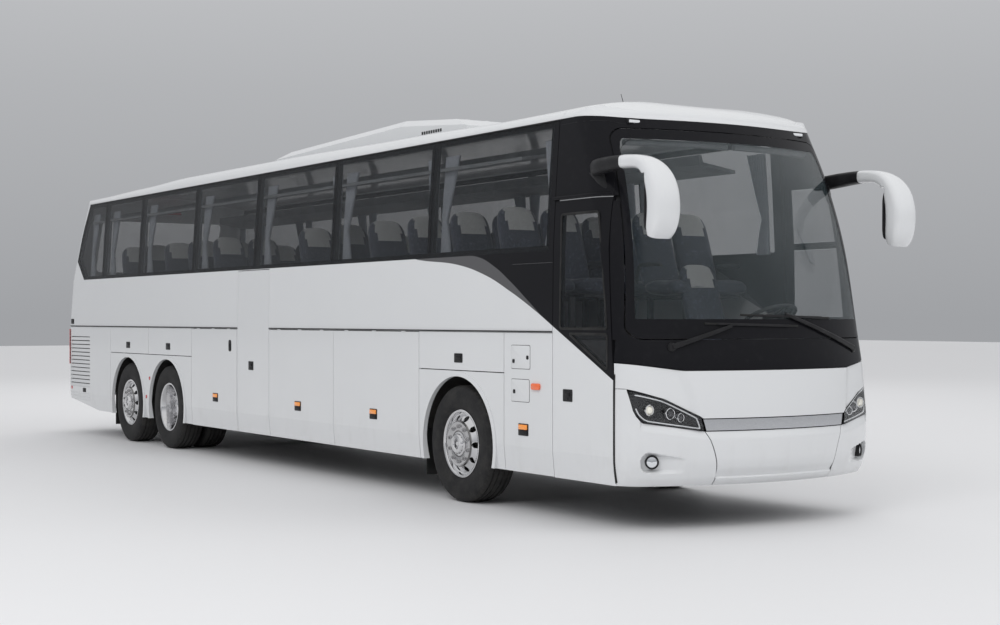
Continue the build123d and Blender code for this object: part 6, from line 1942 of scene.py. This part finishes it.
def roof_rise(x):
    """How far the outer skin stands above the solid roof at a distance ahead of the front axle."""
    x = min(max(x, ROOF_RISE[0][0]), ROOF_RISE[-1][0])
    low, high = next((a, b) for a, b in zip(ROOF_RISE, ROOF_RISE[1:]) if x <= b[0])
    share = (x - low[0]) / (high[0] - low[0])
    share = share * share * (3 - 2 * share)
    return low[1] + (high[1] - low[1]) * share


def roof_skin():
    """The roof's outer skin: full shoulders along the sides, and a dome over the windscreen."""
    half, radius, _, _, corner_x, turn = front_plan(WINDOW_Z)
    front = radius * turn
    corner = FRONT_CORNER * (math.pi / 2 - turn)
    rounds = [front * i / 16 for i in range(16)] + [front + corner * i / 12 for i in range(12)]
    rounds += [front + corner + step for step in heights(0.0, corner_x - ROOF_SKIN_REAR, 0.30)]
    rounds = [-s for s in reversed(rounds)] + rounds[1:]
    inward = (0.0, 0.004, 0.010, 0.020, 0.035, 0.055, 0.083, 0.12, 0.17, 0.25, 0.35, 0.47, 0.60, 0.75, 0.88, 1.0)
    rows = []
    for s in rounds:
        edge = skin_point(s, WINDOW_Z)
        x, y = edge.x - AXLE_X, edge.y
        across = min(abs(y) / half, 1.0)
        row = [skin_point(s, WINDOW_Z - 0.028 * (1 - across**6), -0.004), skin_point(s, EAVE_Z, -0.004)]
        reach = 0.09 + 0.81 * (1 - across**2.2)
        middle_x = min(x, DOME_REAR)
        length = math.hypot(x - middle_x, y)
        for v in inward:
            px, py = x + (middle_x - x) * v, y * (1 - v)
            top = ROOF_EDGE_Z + (CREST_Z - ROOF_EDGE_Z) * (1 - (py / half) ** 2) + roof_rise(px)
            bend = math.sqrt(1 - (1 - min(length * v / reach, 1.0)) ** 2)
            row.append(Vector((AXLE_X + px, py, EAVE_Z + (top - EAVE_Z) * bend)))
        rows.append(row)
    shell = edit(grid("roof_skin", rows), (bpy.ops.mesh.remove_doubles, {"threshold": 0.0001}))
    return thicken(recalculate(shell), 0.003)


# A rib of the air unit: distance ahead of the front axle, height
AIR_RIB = ((-4.86, 3.556), (-4.0, 3.583), (-3.0, 3.614), (-2.14, 3.634), (-1.6, 3.598), (-1.17, 3.562))


class COACH_OT_roof_trim(bpy.types.Operator):
    """Aerial, marker lamps, hatches and the vents of the air unit"""

    bl_idname = "coach.roof_trim"
    bl_label = "Roof trim"

    def execute(self, context):
        place(shade(roof_skin(), 30), stuff("coach_paint"), "root")
        foot = Vector((AXLE_X + 0.80, 0.0, 3.440))
        aerial = [
            round_edges(
                drum("foot", foot - Vector((0, 0, 0.02)), foot + Vector((-0.006, 0, 0.022)), 0.026, 24, 0.016), 0.003,
            ),
            drum("mast", foot + Vector((-0.004, 0, 0.01)), foot + Vector((-0.080, 0, 0.185)), 0.004, 12, 0.0022),
        ]
        fit("aerial", aerial, 40, "black_plastic")
        lamps, bases = [], []
        for side in (-1, 1):
            at = skin_point(round_at_y(side * 0.87, 3.188), 3.188)
            for made, behind, ahead, wide, high, width in (
                (bases, 0.02, 0.006, 0.062, 0.019, 0.005), (lamps, 0.01, 0.016, 0.052, 0.012, 0.006),
            ):
                low, top = at - Vector((behind, wide, high)), at + Vector((ahead, wide, high))
                made.append(soft_block("lamp", low, top, width, 3))
        fit("marker_bases", bases, 40, "black_plastic")
        fit("marker_lenses", lamps, 40, "daylight_strip")
        # air unit: raised ribs over its length, intake grilles on its sides and two fan rings
        ribs, dark = [], []
        for y in (-0.44, -0.22, 0.22, 0.44):
            ribs.append(loft("rib", [
                oval((AXLE_X + x, y, z + 0.001), ACROSS, UP, 0.020, 0.005, 10, 2.5) for x, z in AIR_RIB
            ]))
        fit("air_unit_ribs", ribs, 40, "coach_paint")
        for x in (-4.2, -3.4, -2.6):
            z = 3.560 + (x + 4.87) / 2.73 * 0.080
            for radius in (0.165, 0.125, 0.085, 0.045):
                profile = [(radius, 0.006), (radius - 0.008, 0.008), (radius - 0.012, 0.0), (radius, -0.004)]
                ring = turned("fan_ring", profile, 40)
                ring.data.transform(
                    Matrix.Translation((AXLE_X + x, 0, z)) @ Matrix.Rotation(math.radians(90), 4, "X")
                )
                dark.append(ring)
        for side in (-1, 1):
            for k in range(9):
                x = AXLE_X - 1.35 - k * 0.045
                y = side * 0.642
                dark.append(
                    soft_block("slot", (x - 0.012, y - 0.004, 3.455), (x + 0.012, y + 0.004, 3.485), 0.002, 1)
                )
        fit("air_unit_vents", dark, 40, "black_plastic")
        hatches = []
        for x in (-0.35, -7.6):
            z = CREST_Z + roof_rise(x)
            for reach, low, high, width in ((0.33, 0.03, 0.026, 0.014), (0.25, 0.0, 0.036, 0.010)):
                start, end = (AXLE_X + x - reach, -reach, z - low), (AXLE_X + x + reach, reach, z + high)
                hatches.append(soft_block("hatch", start, end, width, 3))
        fit("roof_hatches", hatches, 40, "coach_paint")
        return {"FINISHED"}


# The tail's face, ahead of the front axle
TAIL_X = -11.025
# Bezel of a round lamp: out from the lamp's radius, and along it
LAMP_BEZEL = ((0.001, 0.005), (0.008, 0.004), (0.010, -0.004), (0.001, -0.004))


class COACH_OT_rear_trim(bpy.types.Operator):
    """Lamps, grille, handle and blank plate of the rear"""

    bl_idname = "coach.rear_trim"
    bl_label = "Rear trim"

    def execute(self, context):
        tail = AXLE_X + TAIL_X
        red, amber, clear, dark = [], [], [], []
        # round lamps, one over the other
        for low, high, kind in (
            (0.985, 1.145, red), (1.155, 1.255, amber), (1.265, 1.345, clear), (1.355, 1.465, red),
        ):
            centre = (low + high) / 2
            radius = min((high - low) / 2 - 0.006, 0.052)
            for y in (-1.150, 1.150):
                y *= 0.995
                start, end = (tail - 0.001 + 0.010, y, centre), (tail - 0.005, y, centre)
                kind.append(round_edges(drum("round_lamp", start, end, radius, 36, radius * 0.9), 0.004, 3))
                profile = [(radius + out, along) for out, along in LAMP_BEZEL]
                ring = turned("bezel", profile, 36)
                ring.data.transform(Matrix.Translation((tail, y, centre)) @ Matrix.Rotation(math.radians(90), 4, "Z"))
                dark.append(recalculate(ring))
        lid_low, lid_high, slats = 0.86, 1.14, 9
        lid_dark = []
        for k in range(slats):
            z = lid_low + (lid_high - lid_low) * (k + 0.5) / slats
            shape = ((0.002, -0.011), (-0.005, -0.006), (0.002, 0.011))
            lid_dark.append(plate("slat", [Vector((tail + x, -0.72, z + up)) for x, up in shape], (0, 1.44, 0)))
        lid_dark.append(soft_block("lid_handle", (tail - 0.005, -0.10, 0.775), (tail + 0.004, 0.10, 0.805), 0.006, 3))
        fit("engine_lid_grille", lid_dark, 35, "black_plastic", "engine_lid")
        blank = soft_block("blank_plate", (tail - 0.005, -0.26, 1.22), (tail + 0.002, 0.26, 1.335), 0.003, 2)
        place(shade(blank, 35), stuff("blank_plate"), "engine_lid")
        red.append(soft_block("high_lamp", (AXLE_X - 10.33, -0.22, 3.150), (AXLE_X - 10.40, 0.22, 3.185), 0.006, 3))
        # lens of the tail lamp, carried round the corner
        rows = []
        for z in heights(0.975, 1.475, 0.05):
            row = []
            for k in range(17):
                turn = math.radians(3 + 60 * k / 16)
                radius = 0.202 + 0.012 * math.cos(turn) ** 2
                x, y = tail + 0.20 - radius * math.sin(turn), -(HALF_WIDTH - 0.20) - radius * math.cos(turn)
                row.append(Vector((x, y, z)))
            rows.append(row)
        red.append(both_sides("corner_lens", thicken(recalculate(grid("corner_lens", rows)), 0.006)))
        # the reflectors take the red lenses' faint glow though they are no lamps, a painted glow
        for y in (-1, 1):
            red.append(
                soft_block(
                    "reflector", (tail - 0.005, y * 0.98 - 0.05, 0.600), (tail + 0.03, y * 0.98 + 0.05, 0.640), 0.004,
                    2,
                )
            )
        fit("rear_red_lamps", red, 35, "red_lens")
        fit("rear_amber_lamps", amber, 35, "amber_lens")
        fit("rear_clear_lamps", clear, 35, "daylight_strip")
        fit("rear_lamp_bezels", dark, 35, "dark_chrome")
        return {"FINISHED"}


# Carried-over solids and the stage

class COACH_OT_finishes(bpy.types.Operator):
    """Finishes of the solids that stay as they are"""

    bl_idname = "coach.finishes"
    bl_label = "Finishes"

    def execute(self, context):
        flaps = [name for name in NODES if name.startswith("luggage_flap")]
        for finish, names in {**NODE_FINISH, "coach_paint": NODE_FINISH["coach_paint"] + tuple(flaps)}.items():
            for name in names:
                if name not in NODES:
                    continue
                mesh = NODES[name].data
                mesh.materials.clear()
                mesh.materials.append(stuff(finish))
        return {"FINISHED"}


# Sky from below to above: place and colour, the two ends first
SKY = (
    (0.0, (0.40, 0.41, 0.42, 1)), (1.0, (0.98, 0.99, 1.0, 1)), (0.5, (0.44, 0.45, 0.47, 1)),
    (0.57, (0.56, 0.57, 0.59, 1)), (0.72, (0.94, 0.95, 0.97, 1)),
)
# Area lights: name, place, what they point at, size and power
LIGHTS = (
    ("key_light", (14, -16, 15), (0, 0, 1.5), 12.0, 1450.0),
    ("fill_light", (18, 12, 12), (3, 0, 1.5), 12.0, 700.0),
    ("back_light", (-16, 10, 14), (0, 0, 1.5), 14.0, 600.0),
)
# The photograph's camera: place, turn to the left and upwards in degrees, and lens in mm
CAMERA_AT = (16.2772, -8.6603, 1.6264)
CAMERA_YAW = 57.3802
CAMERA_PITCH = 0.21385
CAMERA_LENS = 58.15


class COACH_OT_stage(bpy.types.Operator):
    """Pale floor, soft light and the camera"""

    bl_idname = "coach.stage"
    bl_label = "Stage"

    def execute(self, context):
        scene = context.scene
        scene.view_settings.view_transform = "Standard"
        deselect()
        bpy.ops.mesh.primitive_plane_add(size=160, location=(0, 0, 0))
        floor = bpy.context.object
        floor.name = "floor"
        surface = Surface("pale_floor")
        tone = surface.blend(surface.noise(0.4, 3.0, 0.5) * 0.3, (0.80, 0.80, 0.81), (0.76, 0.76, 0.77))
        floor.data.materials.append(surface.finish(Base_Color=tone, Roughness=0.55, Specular_IOR_Level=0.3))
        # soft light from the whole sky
        world = scene.world or bpy.data.worlds.new("sky")
        scene.world = world
        world.use_nodes = True
        tree = world.node_tree
        tree.nodes.clear()
        out = tree.nodes.new("ShaderNodeOutputWorld")
        back = tree.nodes.new("ShaderNodeBackground")
        coordinates = tree.nodes.new("ShaderNodeTexCoord")
        split = tree.nodes.new("ShaderNodeSeparateXYZ")
        ramp = tree.nodes.new("ShaderNodeValToRGB")
        elements = ramp.color_ramp.elements
        stops = [elements[0], elements[1], *[elements.new(0.5) for _ in range(3)]]
        for element, (position, colour) in zip(stops, SKY):
            element.position = position
            element.color = colour
        tree.links.new(coordinates.outputs["Generated"], split.inputs[0])
        lift = tree.nodes.new("ShaderNodeMapRange")
        lift.inputs["From Min"].default_value = -1.0
        tree.links.new(split.outputs["Z"], lift.inputs["Value"])
        tree.links.new(lift.outputs["Result"], ramp.inputs["Fac"])
        tree.links.new(ramp.outputs["Color"], back.inputs["Color"])
        back.inputs["Strength"].default_value = 0.80
        tree.links.new(back.outputs["Background"], out.inputs["Surface"])
        for name, where, aim, size, power in LIGHTS:
            deselect()
            bpy.ops.object.light_add(type="AREA", location=where)
            lamp = bpy.context.object
            lamp.name = name
            lamp.data.size = size
            lamp.data.energy = power
            lamp.visible_glossy = False
            lamp.rotation_euler = (Vector(aim) - Vector(where)).to_track_quat("-Z", "Y").to_euler()
        deselect()
        bpy.ops.object.camera_add(location=CAMERA_AT)
        camera = bpy.context.object
        camera.name = "camera"
        yaw, pitch = math.radians(CAMERA_YAW), math.radians(CAMERA_PITCH)
        forward = Vector((-math.sin(yaw) * math.cos(pitch), math.cos(yaw) * math.cos(pitch), math.sin(pitch)))
        camera.rotation_euler = forward.to_track_quat("-Z", "Y").to_euler()
        camera.data.lens = CAMERA_LENS
        camera.data.sensor_width = 36.0
        camera.data.clip_end = 500.0
        scene.camera = camera
        return {"FINISHED"}


class COACH_PG_sizes(bpy.types.PropertyGroup):
    """Sizes that a user may change"""

    seat_back: bpy.props.FloatProperty(
        name="Seat back", description="Height of the seat backs above their cushions", default=0.72, min=0.4,
        max=0.76, subtype="DISTANCE", unit="LENGTH",
    )
    curtain_width: bpy.props.FloatProperty(
        name="Curtain width", description="Flat width of the cloth of each curtain", default=0.48, min=0.3, max=0.8,
        subtype="DISTANCE", unit="LENGTH",
    )


class COACH_PG_colours(bpy.types.PropertyGroup):
    """Colours that a user may change"""

    paint: bpy.props.FloatVectorProperty(
        name="Paint", description="Colour of the coachwork", default=(0.72, 0.73, 0.74), min=0.0, max=1.0,
        subtype="COLOR",
    )
    band: bpy.props.FloatVectorProperty(
        name="Band", description="Colour of the window band and the fore part", default=(0.012, 0.012, 0.014),
        min=0.0, max=1.0, subtype="COLOR",
    )
    swoosh: bpy.props.FloatVectorProperty(
        name="Swoosh", description="Colour of the curved stripe behind the door", default=(0.11, 0.11, 0.115),
        min=0.0, max=1.0, subtype="COLOR",
    )


OPERATORS = (
    COACH_OT_stage,
    COACH_OT_finishes,
    COACH_OT_windscreen,
    COACH_OT_front_surround,
    COACH_OT_front_panels,
    COACH_OT_head_lamps,
    COACH_OT_wheels,
    COACH_OT_mirrors,
    COACH_OT_wipers,
    COACH_OT_side_trim,
    COACH_OT_doors,
    COACH_OT_seats,
    COACH_OT_curtains,
    COACH_OT_cab,
    COACH_OT_roof_trim,
    COACH_OT_rear_trim,
)


class COACH_PT_panel(bpy.types.Panel):
    """The coach's sizes, colours and pieces"""

    bl_idname = "COACH_PT_panel"
    bl_label = "Touring coach"
    bl_space_type = "VIEW_3D"
    bl_region_type = "UI"
    bl_category = "Coach"

    def draw(self, context):
        layout = self.layout
        for group in (context.scene.coach_sizes, context.scene.coach_colours):
            box = layout.box()
            for name in group.__annotations__:
                box.prop(group, name)
        column = layout.column()
        for operator in OPERATORS:
            column.operator(operator.bl_idname)


CLASSES = (COACH_PG_sizes, COACH_PG_colours, *OPERATORS, COACH_PT_panel)


def register():
    for cls in CLASSES:
        bpy.utils.register_class(cls)
    bpy.types.Scene.coach_sizes = bpy.props.PointerProperty(type=COACH_PG_sizes)
    bpy.types.Scene.coach_colours = bpy.props.PointerProperty(type=COACH_PG_colours)


def unregister():
    del bpy.types.Scene.coach_sizes
    del bpy.types.Scene.coach_colours
    for cls in reversed(CLASSES):
        bpy.utils.unregister_class(cls)


def main():
    """Registers the add-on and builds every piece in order."""
    register()
    for operator in OPERATORS:
        group, name = operator.bl_idname.split(".")
        result = getattr(getattr(bpy.ops, group), name)()
        if "FINISHED" not in result:
            raise RuntimeError(f"{operator.bl_label} did not finish")


if __name__ == "__main__":
    main()
